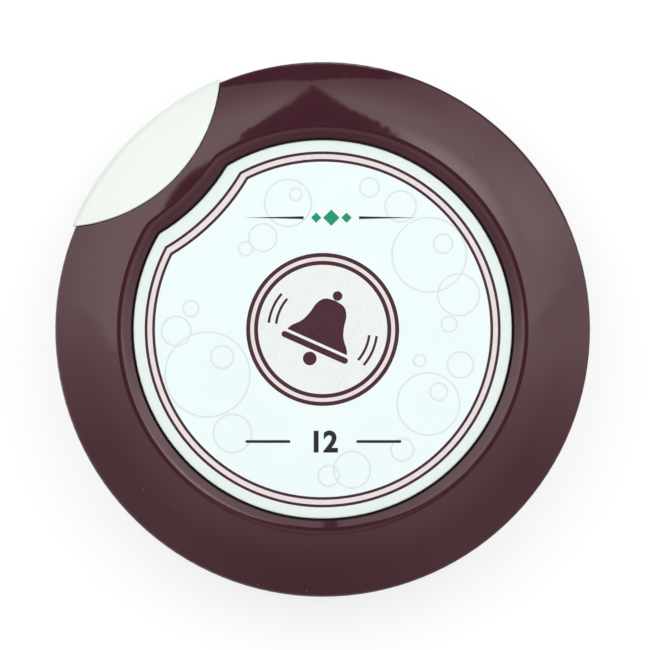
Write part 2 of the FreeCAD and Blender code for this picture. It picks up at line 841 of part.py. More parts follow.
def coin_cell_can():
    """Steel can of the cell, which is its positive side and faces down."""
    shoulder = cell_top - cell_cap_step_height
    can = cylinder(cell_radius, cell_bottom, shoulder)
    hollow = cylinder(cell_radius - cell_wall, cell_bottom + cell_wall, shoulder + overrun)
    edges = [edge for edge in can.Edges if edge.BoundBox.ZMax < cell_bottom + cell_wall]
    return can.makeFillet(cell_wall, edges).cut(hollow)


def coin_cell_gasket():
    """Sealing ring between can and cap."""
    outer = cell_radius - cell_wall
    inner = outer - cell_gasket_wall
    ledge = ring(cell_cap_radius - cell_wall, outer, cell_bottom + cell_wall, cell_bottom + 2 * cell_wall)
    side = ring(inner, outer, cell_bottom + cell_wall, cell_top - cell_cap_step_height)
    return ledge.fuse(side).removeSplitter()


def coin_cell_cap():
    """Negative cap of the cell, a shallow lid that faces the board."""
    outer = cell_radius - cell_wall - cell_gasket_wall
    lid = cylinder(outer, cell_bottom + 2 * cell_wall, cell_top)
    hollow = cylinder(cell_cap_radius, cell_bottom + cell_wall, cell_top - cell_wall)
    edges = [edge for edge in lid.Edges if edge.BoundBox.ZMin > cell_top - cell_wall]
    return lid.makeFillet(cell_wall, edges).cut(hollow)


def coin_cell_cathode():
    """Pressed disc on the floor of the can."""
    bottom = cell_bottom + cell_wall
    return cylinder(cell_cap_radius - cell_wall, bottom, bottom + cathode_thickness)


def coin_cell_separator():
    """Thin disc between the two electrodes."""
    bottom = cell_bottom + cell_wall + cathode_thickness
    return cylinder(cell_cap_radius - cell_wall, bottom, bottom + separator_thickness)


def coin_cell_anode():
    """Metal disc under the cap."""
    bottom = cell_bottom + cell_wall + cathode_thickness + separator_thickness
    return cylinder(cell_cap_radius - cell_wall, bottom, cell_top - cell_wall)


def switch_base():
    """Moulded base of the key switch, with the cavity for the dome."""
    body = block(switch_width, switch_width, board_top, switch_cover_bottom)
    cavity_bottom = switch_cover_bottom - switch_cavity_depth
    return body.cut(cylinder(switch_cavity_radius, cavity_bottom, switch_cover_bottom + overrun))


def switch_cover():
    """Pressed steel cover over the base, with a tab down each side."""
    plate = block(switch_width, switch_width, switch_cover_bottom, switch_cover_top)
    parts = [plate]
    for side in (1, -1):
        centre = Vector(side * (switch_width + switch_tab_thickness) / 2, 0, 0)
        bottom = switch_cover_top - switch_tab_length
        parts.append(block(switch_tab_thickness, switch_tab_width, bottom, switch_cover_top, centre))
    hole = cylinder(stem_radius + stem_hole_gap, switch_cover_bottom - overrun, switch_cover_top + overrun)
    return fused(parts).cut(hole)


def bent_lead(reach, drop, foot, thickness, width):
    """Gull-wing lead that leaves a body at X zero and stands on height zero."""
    bend = reach + thickness
    end = bend + foot
    return extruded([
        Vector(0, 0, drop),
        Vector(bend, 0, drop),
        Vector(bend, 0, thickness),
        Vector(end, 0, thickness),
        Vector(end, 0, 0),
        Vector(reach, 0, 0),
        Vector(reach, 0, drop - thickness),
        Vector(0, 0, drop - thickness),
    ], width)


def switch_legs():
    """Four leads of the key switch."""
    reach = switch_leg_reach_length
    foot = switch_leg_foot_length
    one = bent_lead(reach, switch_leg_height, foot, switch_leg_thickness, switch_leg_width)
    legs = []
    for side in (1, -1):
        for step in (switch_leg_spread_width / 2, -switch_leg_spread_width / 2):
            place = Vector(step, side * switch_width / 2, board_top)
            legs.append(turned(one, side * quarter_turn, place))
    return Part.makeCompound(legs)


def switch_dome():
    """Snap dome under the stem."""
    seat = switch_cover_bottom - switch_cavity_depth + dome_seat_gap
    outer = cap_solid(dome_radius, dome_height, seat)
    inner = cap_solid(dome_radius - dome_thickness, dome_height - dome_thickness, seat)
    return outer.cut(inner)


def cap_solid(radius, height, bottom):
    """Flat-bottomed slice of a ball, from its rim's radius and its height."""
    ball_radius = (radius ** 2 + height ** 2) / (2 * height)
    centre = Vector(0, 0, bottom + height - ball_radius)
    ball = Part.makeSphere(ball_radius, centre)
    return ball.common(cylinder(radius + overrun, bottom, bottom + height + overrun))


def switch_stem():
    """Plunger of the key switch, held in by its flange."""
    flange_top = switch_cover_bottom - stem_top_gap
    flange = cylinder(stem_flange_radius, flange_top - stem_flange_thickness, flange_top)
    stem = cylinder(stem_radius, flange_top - stem_flange_thickness, stem_top)
    foot_top = flange_top - stem_flange_thickness
    dome_top = switch_cover_bottom - switch_cavity_depth + dome_seat_gap + dome_height
    foot = cylinder(stem_radius / 2, dome_top + dome_seat_gap, foot_top)
    return fused([stem, flange, foot])


def button_cap():
    """Carrier of the push face, with the boss, hooks, guide pins and stop ribs under it."""
    plate = face_prism(0, cap_bottom, cap_top)
    parts = [plate, cylinder(cap_boss_radius, cap_bottom - cap_boss_length, cap_top)]
    for angle in hook_angles:
        barb_top = deck_bottom - hook_gap
        hook_end = barb_top - hook_barb_height
        leg = block(hook_thickness, hook_width, hook_end, cap_top, polar(hook_circle_radius, angle), angle)
        barb = extruded([
            Vector(0, 0, barb_top),
            Vector(hook_thickness / 2 + hook_barb_width, 0, barb_top),
            Vector(hook_thickness / 2, 0, hook_end),
            Vector(0, 0, hook_end),
        ], hook_width)
        parts += [leg, turned(barb, angle, polar(hook_circle_radius, angle))]
    for angle in guide_angles:
        parts.append(cylinder(guide_pin_radius, cup_floor_bottom, cap_top, polar(guide_circle_radius, angle)))
    for angle in post_angles:
        inner = stop_rib_circle_radius - stop_rib_width / 2
        outer = stop_rib_circle_radius + stop_rib_width / 2
        parts.append(sector(inner, outer, cap_bottom - stop_rib_height, cap_top, angle, stop_rib_angle))
    return fused(parts)


def graphic_sheet():
    """Printed sheet between the cap and the face plate."""
    return face_prism(0, cap_top, graphic_top)


def face_plate():
    """Clear plate that the finger presses, over the printed sheet."""
    plate = face_prism(0, graphic_top, face_top)
    top_edges = [edge for edge in plate.Edges if edge.BoundBox.ZMin > face_top - face_plate_rounding_radius]
    return plate.makeFillet(face_plate_rounding_radius, top_edges)


def helix_step(radius, pitch, turn):
    """Point and direction of a helix about the upright axis after a number of turns."""
    angle = turn * 2 * math.pi
    point = Vector(radius * math.cos(angle), radius * math.sin(angle), pitch * turn)
    direction = Vector(-radius * math.sin(angle), radius * math.cos(angle), pitch / (2 * math.pi))
    return point, direction.normalize()


def tangent_arc(start, corner, end):
    """Arc between two points whose tangents meet at a corner as far from each."""
    middle = (start + end) / 2
    cosine = (end - start).Length / (2 * (corner - start).Length)
    return Part.Arc(start, middle + (corner - middle) * (cosine / (1 + cosine)), end).toShape()


def biarc(start, start_direction, end, end_direction):
    """Two arcs that join two points and keep the direction at each."""
    chord = end - start
    both = start_direction + end_direction
    square = 2 * start_direction.dot(end_direction) - 2
    linear = -2 * chord.dot(both)
    constant = chord.dot(chord)
    reach = (-linear - math.sqrt(linear ** 2 - 4 * square * constant)) / (2 * square)
    first = start + start_direction * reach
    second = end - end_direction * reach
    joint = (first + second) / 2
    return [tangent_arc(start, first, joint), tangent_arc(joint, second, end)]


def helix_edges(radius, pitch, turns):
    """Helix as pairs of arcs, one pair for each quarter turn."""
    quarters = round(turns * 4)
    edges = []
    for index in range(quarters):
        start, start_direction = helix_step(radius, pitch, index * turns / quarters)
        end, end_direction = helix_step(radius, pitch, (index + 1) * turns / quarters)
        edges += biarc(start, start_direction, end, end_direction)
    return edges


def tube(edges, wire_radius):
    """Round wire along a path of arcs and lines."""
    path = Part.Wire(edges)
    first = edges[0]
    direction = first.tangentAt(first.FirstParameter)
    section = Part.Circle(first.valueAt(first.FirstParameter), direction, wire_radius)
    pipe = Part.BRepOffsetAPI.MakePipeShell(path)
    pipe.add(Part.Wire(section.toShape()))
    pipe.build()
    pipe.makeSolid()
    return pipe.shape()


def least_turn_gap(radius, pitch, turns, wire_radius):
    """Least gap between neighbouring turns of a helix, measured between points on it."""
    samples_per_turn = 48
    points = []
    for index in range(round(turns * samples_per_turn) + 1):
        points.append(helix_step(radius, pitch, index / samples_per_turn)[0])
    gaps = []
    for index, point in enumerate(points):
        for other in points[index + samples_per_turn // 2:]:
            gaps.append((other - point).Length - 2 * wire_radius)
    return min(gaps)


def return_springs():
    """Three coil springs round the guide pins."""
    edges = helix_edges(spring_coil_radius, spring_pitch, spring_turns)
    one = tube(edges, spring_wire_radius)
    bottom = cup_floor_top + spring_seat_gap + spring_wire_radius
    gap = least_turn_gap(spring_coil_radius, spring_pitch, spring_turns, spring_wire_radius)
    print("return_springs least gap", round(gap, 3), "height", round(one.BoundBox.ZLength, 3))
    places = [polar(guide_circle_radius, angle, bottom) for angle in guide_angles]
    return Part.makeCompound([turned(one, 0, place) for place in places])


def tuning_coil():
    """Air-wound coil that lies on the board, with both ends soldered down."""
    turns = coil_full_turn_count + 1 / 2
    drop = coil_radius + coil_wire_radius
    start, start_direction = helix_step(coil_radius, coil_pitch, 0)
    end, end_direction = helix_step(coil_radius, coil_pitch, turns)
    first_leg = Part.LineSegment(start - start_direction * drop, start).toShape()
    last_leg = Part.LineSegment(end, end + end_direction * drop).toShape()
    solid = tube([first_leg] + helix_edges(coil_radius, coil_pitch, turns) + [last_leg], coil_wire_radius)
    gap = least_turn_gap(coil_radius, coil_pitch, turns, coil_wire_radius)
    print("tuning_coil least gap", round(gap, 3))
    solid.rotate(axis_point, Vector(1, 0, 0), 90)
    solid.translate(board_place(coil_place_shares) + up * (drop + coil_board_gap))
    return solid


def indicator_leds():
    """Two LED bodies with a cup in the top of each."""
    top = board_top + led_height
    bodies = []
    for centre in led_centres():
        body = block(led_length, led_width, board_top, top, centre, notch_angle + quarter_turn)
        cup = cylinder(led_cup_radius, top - led_cup_depth, top + overrun, centre)
        bodies.append(body.cut(cup))
    return Part.makeCompound(bodies)


def led_windows():
    """Clear fill in the cup of each LED."""
    top = board_top + led_height
    bottom = top - led_cup_depth
    return Part.makeCompound([cylinder(led_cup_radius, bottom, top, centre) for centre in led_centres()])


def encoder_chip():
    """Moulded body of the encoder."""
    place = board_place(chip_place_shares)
    bottom = board_top + chip_standoff_height
    return block(chip_length, chip_width, bottom, bottom + chip_height, place)


def encoder_leads():
    """Gull-wing leads along both sides of the encoder."""
    reach = chip_pin_reach_length
    foot = chip_pin_foot_length
    one = bent_lead(reach, chip_pin_height, foot, chip_pin_thickness, chip_pin_width)
    per_side = chip_pin_count // 2
    leads = []
    for side in (1, -1):
        for index in range(per_side):
            along = (index - (per_side - 1) / 2) * chip_pin_pitch
            place = board_place(chip_place_shares) + Vector(along, side * chip_width / 2, 0)
            leads.append(turned(one, side * quarter_turn, place))
    return Part.makeCompound(leads)


def saw_resonator():
    """Square metal can of the resonator."""
    can = block(saw_width, saw_width, board_top, board_top + saw_height, board_place(saw_place_shares))
    upright = [edge for edge in can.Edges if edge.BoundBox.ZLength > saw_height / 2]
    return can.makeFillet(saw_width / 10, upright)


def rf_transistor():
    """Small three-legged transistor."""
    place = board_place(transistor_place_shares)
    body = block(transistor_length, transistor_width, board_top, board_top + transistor_height, place)
    leg_width = transistor_length / 7
    leg_reach = transistor_width * 2
    legs = []
    for share in (-1, 1):
        centre = place + Vector(share * transistor_length / 3, -transistor_width / 2, 0)
        legs.append(block(leg_width, leg_reach / 2, board_top, board_top + transistor_height / 5, centre))
    centre = place + Vector(0, transistor_width / 2, 0)
    legs.append(block(leg_width, leg_reach / 2, board_top, board_top + transistor_height / 5, centre))
    return fused([body] + legs)


def chip_row(length, width, height, places):
    """Small surface-mounted parts at their places on the board, each turned to face the axis."""
    parts = []
    for shares in places:
        place = board_place(shares)
        angle = math.degrees(math.atan2(place.y, place.x))
        parts.append(block(length, width, board_top, board_top + height, place, angle + quarter_turn))
    return Part.makeCompound(parts)


def chip_resistors():
    """Surface-mounted resistors."""
    return chip_row(resistor_length, resistor_width, resistor_height, resistor_place_shares)


def chip_capacitors():
    """Surface-mounted capacitors."""
    return chip_row(capacitor_length, capacitor_width, capacitor_height, capacitor_place_shares)


def antenna_trace():
    """Copper loop near the edge of the board."""
    outer = board_radius - antenna_edge_gap
    inner = outer - antenna_width
    middle = antenna_start_angle + antenna_sweep / 2
    return sector(inner, outer, board_top, board_top + antenna_thickness, middle, antenna_sweep)


pieces = (
    base_plate, base_pad,
    top_housing, bottom_housing, indicator_lens, circuit_board, housing_screws, board_screws,
    switch_base, switch_cover, switch_legs, switch_dome, battery_holder,
    coin_cell_can, coin_cell_gasket, coin_cell_cap, coin_cell_cathode, coin_cell_separator, coin_cell_anode,
    positive_contact, negative_contact, indicator_leds, led_windows,
    encoder_chip, encoder_leads, saw_resonator, rf_transistor, chip_resistors, chip_capacitors,
    antenna_trace, tuning_coil, return_springs,
    face_plate, graphic_sheet, button_cap,
    switch_stem,
)


def save_all():
    """Write every piece to its own file, and print its solids and volume."""
    os.makedirs("parts", exist_ok=True)
    for make in pieces:
        shape = make()
        state = "valid" if shape.isValid() else "NOT VALID"
        print(make.__name__, len(shape.Solids), state, round(shape.Volume, 2))
        shape.exportStep(os.path.join("parts", make.__name__ + ".step"))


save_all()
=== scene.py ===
"""Round table call button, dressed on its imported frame.

The frame gives every solid and its place. This file adds the finishes, the print on the push face,
the wound and sprung pieces, the foam ring, the camera, the lamps and the floor.
"""
import math

import bmesh
import bpy
from mathutils import Matrix, Vector


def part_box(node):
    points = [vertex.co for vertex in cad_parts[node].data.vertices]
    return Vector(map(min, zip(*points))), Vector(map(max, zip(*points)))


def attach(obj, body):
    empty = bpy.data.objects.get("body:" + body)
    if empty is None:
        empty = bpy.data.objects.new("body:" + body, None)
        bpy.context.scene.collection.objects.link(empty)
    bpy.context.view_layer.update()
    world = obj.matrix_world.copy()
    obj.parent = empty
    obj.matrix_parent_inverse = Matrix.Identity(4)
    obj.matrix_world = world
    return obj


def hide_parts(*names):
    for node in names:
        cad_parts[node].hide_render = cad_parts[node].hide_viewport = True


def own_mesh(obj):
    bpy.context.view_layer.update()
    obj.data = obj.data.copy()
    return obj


bl_info = {
    "name": "Table call button",
    "version": (1, 0, 0),
    "blender": (4, 5, 0),
    "location": "3D View > Sidebar > Call button",
    "description": "Finishes, print and stage for a round table call button",
    "category": "Object",
}

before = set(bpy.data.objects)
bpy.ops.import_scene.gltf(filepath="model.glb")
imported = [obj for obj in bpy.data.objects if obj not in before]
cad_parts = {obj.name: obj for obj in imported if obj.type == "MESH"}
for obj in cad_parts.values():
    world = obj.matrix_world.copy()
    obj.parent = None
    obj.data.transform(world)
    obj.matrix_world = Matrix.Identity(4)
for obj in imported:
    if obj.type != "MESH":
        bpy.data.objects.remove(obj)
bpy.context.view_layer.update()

MM = 0.001
FACE_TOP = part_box("face_plate")[1].z
INK_ROOT = 0.004 * MM
INK_HEIGHT = 0.014 * MM
TINT_HEIGHT = 0.008 * MM
FIELD_HEIGHT = 0.004 * MM
CIRCLE_HEIGHT = 0.002 * MM
CIRCLE_STEP = 0.0004 * MM
MERGE_DISTANCE = 0.00005 * MM
INK_GLOSS = 0.22
NOTCH_CENTRE = Vector((-30.405 * MM, 30.405 * MM, 0))
NOTCH_DISTANCE = NOTCH_CENTRE.length
NOTCH_DIRECTION = math.radians(135)
UP = Vector((0, 0, 1))


def opaque(colour):
    return (*colour, 1)


def length_setting(name, description, default):
    return bpy.props.FloatProperty(
        name=name, description=description, default=default, min=0, precision=5,
        unit="LENGTH", subtype="DISTANCE",
    )


def colour_setting(name, description, default):
    return bpy.props.FloatVectorProperty(
        name=name, description=description, default=default, min=0, max=1, size=3, subtype="COLOR",
    )


class ShellSettings(bpy.types.PropertyGroup):
    """Finish of the outer shells, the lens and the face."""

    gloss_colour: colour_setting(
        "Gloss colour", "Colour of the polished top ring", (0.046, 0.0085, 0.0162))
    matte_colour: colour_setting(
        "Matte colour", "Colour of the grained lower shell and base", (0.043, 0.010, 0.017))
    lens_colour: colour_setting(
        "Lens colour", "Colour of the milky lens", (0.785, 0.845, 0.79))
    face_colour: colour_setting(
        "Face colour", "Colour of the push face", (0.856, 0.950, 0.958))
    margin_colour: colour_setting(
        "Margin colour", "Colour of the push face outside its border", (0.795, 0.882, 0.845))
    ripple_size: length_setting(
        "Ripple size", "Width of the faint waves in the polished ring", 2.6 * MM)
    grain_size: length_setting(
        "Grain size", "Width of the pits in the grained plastic", 0.16 * MM)


class PrintSettings(bpy.types.PropertyGroup):
    """Size and colours of the print on the push face."""

    ink_colour: colour_setting("Ink colour", "Colour of the printed lines", (0.058, 0.013, 0.023))
    ring_tint: colour_setting("Tint colour", "Colour between the printed lines", (0.83, 0.765, 0.765))
    field_colour: colour_setting(
        "Field colour", "Colour inside the central rings", (0.872, 0.905, 0.875))
    bubble_colour: colour_setting(
        "Circle colour", "Colour of the faint circles", (0.72, 0.81, 0.805))
    numeral_colour: colour_setting(
        "Numeral colour", "Colour of the table number", (0.012, 0.013, 0.015))
    accent_colour: colour_setting("Accent colour", "Colour of the small ornament", (0.008, 0.30, 0.15))
    line_width: length_setting("Line width", "Width of the border lines", 0.32 * MM)
    outer_radius: length_setting("Outer line radius", "Radius of the outer border line", 20.39 * MM)
    outer_notch: length_setting(
        "Outer line notch", "Radius of the outer border line round the notch", 24.3 * MM)
    inner_radius: length_setting("Inner line radius", "Radius of the inner border line", 19.52 * MM)
    inner_notch: length_setting(
        "Inner line notch", "Radius of the inner border line round the notch", 25.25 * MM)
    ring_radius: length_setting("Ring radius", "Middle of the outer central ring", 8.6 * MM)
    inner_ring_radius: length_setting("Inner ring radius", "Middle of the inner central ring", 7.69 * MM)
    ring_width: length_setting("Ring width", "Width of both central rings", 0.46 * MM)
    circle_width: length_setting("Circle width", "Width of the faint circles' lines", 0.19 * MM)
    numeral: bpy.props.StringProperty(name="Number", description="Table number", default="12")
    numeral_height: length_setting("Number height", "Height of the table number", 2.55 * MM)


class StageSettings(bpy.types.PropertyGroup):
    """Camera, lamps and floor."""

    view_width: length_setting("View width", "Width of what the camera sees", 75.22 * MM)
    camera_height: length_setting("Camera height", "Height of the camera over the ring", 1.7)
    lamp_height: length_setting("Lamp height", "Height of the two softboxes", 0.9)
    lamp_radiance: bpy.props.FloatProperty(
        name="Lamp level", description="Brightness of a softbox, where 1 shows as white", default=2.1)
    floor_width: length_setting("Floor width", "Side of the square floor", 3.0)


class Wiring:
    """Adds nodes to one node tree and joins them."""

    def __init__(self, tree):
        self.tree = tree

    def node(self, kind, inputs=None, **settings):
        made = self.tree.nodes.new("ShaderNode" + kind)
        for name, value in settings.items():
            setattr(made, name, value)
        for name, value in (inputs or {}).items():
            self.feed(made.inputs[name], value)
        return made

    def feed(self, socket, value):
        if isinstance(value, bpy.types.NodeSocket):
            self.tree.links.new(value, socket)
        else:
            socket.default_value = value

    def maths(self, operation, *values):
        made = self.node("Math", operation=operation)
        for place, value in enumerate(values):
            self.feed(made.inputs[place], value)
        return made.outputs[0]

    def plus(self, first, second):
        return self.maths("ADD", first, second)

    def minus(self, first, second):
        return self.maths("SUBTRACT", first, second)

    def times(self, first, second):
        return self.maths("MULTIPLY", first, second)

    def over(self, first, second):
        return self.maths("DIVIDE", first, second)

    def larger(self, first, second):
        return self.maths("MAXIMUM", first, second)

    def vector(self, operation, *values):
        made = self.node("VectorMath", operation=operation)
        for place, value in enumerate(values):
            self.feed(made.inputs[place], value)
        return made.outputs["Value" if operation in ("LENGTH", "DISTANCE") else "Vector"]

    def span(self, value, low, high, to_low=0.0, to_high=1.0, smooth=False):
        """Value carried from one span to another, and held at its ends."""
        made = self.node(
            "MapRange", {"Value": value, "From Min": low, "From Max": high,
                         "To Min": to_low, "To Max": to_high},
            interpolation_type="SMOOTHSTEP" if smooth else "LINEAR")
        return made.outputs["Result"]

    def noise(self, vector, size, detail=2.0, roughness=0.5):
        scale = self.over(1.0, size)
        made = self.node(
            "TexNoise", {"Vector": vector, "Scale": scale, "Detail": detail, "Roughness": roughness})
        return made.outputs["Fac"]

    def cells(self, vector, size):
        return self.node("TexVoronoi", {"Vector": vector, "Scale": self.over(1.0, size)})

    def stretched(self, vector, scale, turn=(0, 0, 0)):
        return self.node(
            "Mapping", {"Vector": vector, "Scale": scale, "Rotation": turn}).outputs["Vector"]

    def mix(self, share, first, second):
        made = self.node("Mix", data_type="RGBA")
        for place, value in ((0, share), (6, first), (7, second)):
            if isinstance(value, tuple) and len(value) == 3:
                value = opaque(value)
            self.feed(made.inputs[place], value)
        return made.outputs[2]


def effect(name, inputs, outputs, draw):
    """Node group with named inputs and outputs, drawn by a function that gives its output sockets."""
    tree = bpy.data.node_groups.new(name, "ShaderNodeTree")
    tree.interface.new_socket(name="Vector", in_out="INPUT", socket_type="NodeSocketVector")
    for label, value in inputs.items():
        socket = tree.interface.new_socket(name=label, in_out="INPUT", socket_type="NodeSocketFloat")
        socket.default_value = value
    for label in outputs:
        tree.interface.new_socket(name=label, in_out="OUTPUT", socket_type="NodeSocketFloat")
    wiring = Wiring(tree)
    entry = tree.nodes.new("NodeGroupInput")
    leave = tree.nodes.new("NodeGroupOutput")
    results = draw(wiring, entry.outputs)
    for label, result in zip(outputs, results):
        tree.links.new(result, leave.inputs[label])
    return tree


def draw_ripple(wiring, given):
    """Slow waves of a polished moulding, with a finer one on them."""
    slow = wiring.noise(given["Vector"], given["Size"], detail=1.0)
    fine = wiring.noise(given["Vector"], wiring.times(given["Size"], 0.22), detail=0.0)
    height = wiring.plus(slow, wiring.times(fine, given["Fine share"]))
    return height, slow


def draw_grain(wiring, given):
    """Pits and lands of a spark-eroded mould."""
    pits = wiring.cells(given["Vector"], given["Size"]).outputs["Distance"]
    lands = wiring.noise(given["Vector"], wiring.times(given["Size"], 2.4), detail=3.0, roughness=0.6)
    height = wiring.plus(wiring.times(pits, 0.55), lands)
    return height, wiring.span(lands, 0.3, 0.7)


def draw_dust(wiring, given):
    """A few settled specks, where few of the pattern's cells hold one."""
    cells = wiring.cells(given["Vector"], given["Spacing"])
    chance = wiring.node("SeparateColor", {"Color": cells.outputs["Color"]}).outputs["Red"]
    kept = wiring.maths("LESS_THAN", chance, given["Share"])
    size = wiring.over(given["Speck size"], given["Spacing"])
    edge = wiring.times(size, 0.6)
    near = wiring.span(cells.outputs["Distance"], edge, size, 1.0, 0.0, smooth=True)
    return (wiring.times(near, kept),)


def draw_hairlines(wiring, given):
    """Short fine wipe marks that cross at two angles."""
    marks = None
    for turn in (0.6, -0.9):
        along = wiring.stretched(given["Vector"], (1, 0.045, 1), (0, 0, turn))
        line = wiring.noise(along, given["Size"], detail=0.0)
        mark = wiring.span(line, wiring.minus(0.80, given["Share"]), 0.84)
        marks = mark if marks is None else wiring.larger(marks, mark)
    return (marks,)


def draw_rolled(wiring, given):
    """Rolling lines of sheet metal, along X."""
    along = wiring.stretched(given["Vector"], (0.03, 1, 1))
    lines = wiring.noise(along, given["Size"], detail=3.0, roughness=0.6)
    patches = wiring.noise(given["Vector"], wiring.times(given["Size"], 14.0), detail=2.0)
    return lines, patches


def draw_turned(wiring, given):
    """Turning lines round the Z axis."""
    flat = wiring.vector("MULTIPLY", given["Vector"], (1, 1, 0))
    radius = wiring.vector("LENGTH", flat)
    height = wiring.node("SeparateXYZ", {"Vector": given["Vector"]}).outputs["Z"]
    place = wiring.node("CombineXYZ", {"X": radius, "Y": height}).outputs["Vector"]
    lines = wiring.noise(place, given["Size"], detail=3.0, roughness=0.65)
    patches = wiring.noise(given["Vector"], wiring.times(given["Size"], 16.0), detail=2.0)
    return lines, patches


def draw_foam(wiring, given):
    """Open cells of a foam skin."""
    small_size = wiring.times(given["Size"], 0.45)
    large = wiring.cells(given["Vector"], given["Size"]).outputs["Distance"]
    small = wiring.cells(given["Vector"], small_size).outputs["Distance"]
    height = wiring.plus(large, wiring.times(small, 0.5))
    return height, wiring.span(large, 0.1, 0.7)


def draw_fibres(wiring, given):
    """Matted fibres at two angles."""
    total = None
    for turn in (0.3, 1.7):
        along = wiring.stretched(given["Vector"], (1, 0.12, 1), (0, 0, turn))
        fibre = wiring.noise(along, given["Size"], detail=3.0, roughness=0.7)
        total = fibre if total is None else wiring.plus(total, fibre)
    return total, wiring.span(total, 0.8, 1.2)


def draw_weave(wiring, given):
    """Glass cloth that shows faintly through a board."""
    parts = wiring.node("SeparateXYZ", {"Vector": given["Vector"]})
    rate = wiring.over(math.tau, given["Size"])
    across = wiring.maths("SINE", wiring.times(parts.outputs["X"], rate))
    along = wiring.maths("SINE", wiring.times(parts.outputs["Y"], rate))
    weave = wiring.times(across, along)
    blotch = wiring.noise(given["Vector"], wiring.times(given["Size"], 9.0), detail=2.0)
    return wiring.span(weave, -1.0, 1.0), blotch


def draw_margin(wiring, given):
    """One outside the border, with its round side and its notch, and nought inside."""
    flat = wiring.vector("MULTIPLY", given["Vector"], (1, 1, 0))
    from_axis = wiring.vector("LENGTH", flat)
    from_notch = wiring.vector("DISTANCE", flat, tuple(NOTCH_CENTRE))
    beyond = wiring.maths("GREATER_THAN", from_axis, given["Round radius"])
    within = wiring.maths("LESS_THAN", from_notch, given["Notch radius"])
    return (wiring.larger(beyond, within),)


PATTERN = ("Height", "Patch")
MASK = ("Mask",)
EFFECTS = {
    "Moulded ripple": ({"Size": 2 * MM, "Fine share": 0.2}, PATTERN, draw_ripple),
    "Spark grain": ({"Size": 0.16 * MM}, PATTERN, draw_grain),
    "Settled dust": ({"Spacing": 1.4 * MM, "Speck size": 0.05 * MM, "Share": 0.2}, MASK, draw_dust),
    "Hairlines": ({"Size": 0.12 * MM, "Share": 0.06}, MASK, draw_hairlines),
    "Rolled metal": ({"Size": 0.12 * MM}, PATTERN, draw_rolled),
    "Turned metal": ({"Size": 0.12 * MM}, PATTERN, draw_turned),
    "Foam cells": ({"Size": 0.3 * MM}, PATTERN, draw_foam),
    "Fibres": ({"Size": 0.12 * MM}, PATTERN, draw_fibres),
    "Board weave": ({"Size": 0.5 * MM}, PATTERN, draw_weave),
    "Outside the border": (
        {"Round radius": 20.4 * MM, "Notch radius": 24.3 * MM}, MASK, draw_margin),
}


class Finish(Wiring):
    """One material: a single shader, and the nodes that vary it."""

    def __init__(self, name, colour, roughness, **sockets):
        self.material = bpy.data.materials.new(name)
        self.material.use_nodes = True
        super().__init__(self.material.node_tree)
        self.tree.nodes.clear()
        self.shader = self.node("BsdfPrincipled", {"Base Color": opaque(colour), "Roughness": roughness})
        for socket, value in sockets.items():
            self.shader.inputs[socket.replace("_", " ")].default_value = value
        output = self.node("OutputMaterial")
        self.tree.links.new(self.shader.outputs[0], output.inputs["Surface"])
        self.place = self.node("TexCoord").outputs["Object"]
        self.height = None
        self.colour = opaque(colour)

    def use(self, name, **values):
        """Places an effect and gives its outputs."""
        if name not in bpy.data.node_groups:
            effect(name, *EFFECTS[name])
        made = self.node("Group", node_tree=bpy.data.node_groups[name])
        self.feed(made.inputs["Vector"], self.place)
        for label, value in values.items():
            self.feed(made.inputs[label.replace("_", " ").capitalize()], value)
        return made.outputs

    def vary_colour(self, mask, towards, share=1.0):
        mask = self.times(mask, share)
        self.colour = self.mix(mask, self.colour, towards)
        self.feed(self.shader.inputs["Base Color"], self.colour)

    def vary_roughness(self, mask, low, high):
        self.feed(self.shader.inputs["Roughness"], self.span(mask, 0.0, 1.0, low, high))

    def raise_height(self, height, depth):
        """Adds a height of so many metres to the bump."""
        share = self.times(height, depth / MM)
        self.height = share if self.height is None else self.plus(self.height, share)

    def done(self):
        if self.height is not None:
            bump = self.node("Bump", {"Height": self.height, "Distance": MM, "Strength": 1.0})
            self.feed(self.shader.inputs["Normal"], bump.outputs["Normal"])
        return self.material


def dress(material, *names):
    """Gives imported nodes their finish."""
    for name in names:
        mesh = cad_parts[name].data
        for place in range(len(mesh.materials)):
            mesh.materials[place] = material
        if not mesh.materials:
            mesh.materials.append(material)


SPECKS = {"Spacing": 1.9 * MM, "Speck_size": 0.075 * MM, "Share": 0.16}
SPECK_HEIGHT, SPECK_COLOUR, SPECK_TONE, SPECK_DULLNESS = 0.006 * MM, (0.45, 0.42, 0.42), 0.35, 0.8
WIPE_MARKS = {"Size": 0.11 * MM, "Share": 0.02}
RIPPLE_DULLNESS, DULLNESS = 0.12, 0.12
GRAIN_TONE, GRAIN_POLISH, GRAIN_DULLNESS = 0.6, 0.06, 0.08
METAL_LINE_DEPTH = 0.002 * MM
METAL_TONE, METAL_POLISH, METAL_DULLNESS = 0.5, 0.07, 0.12

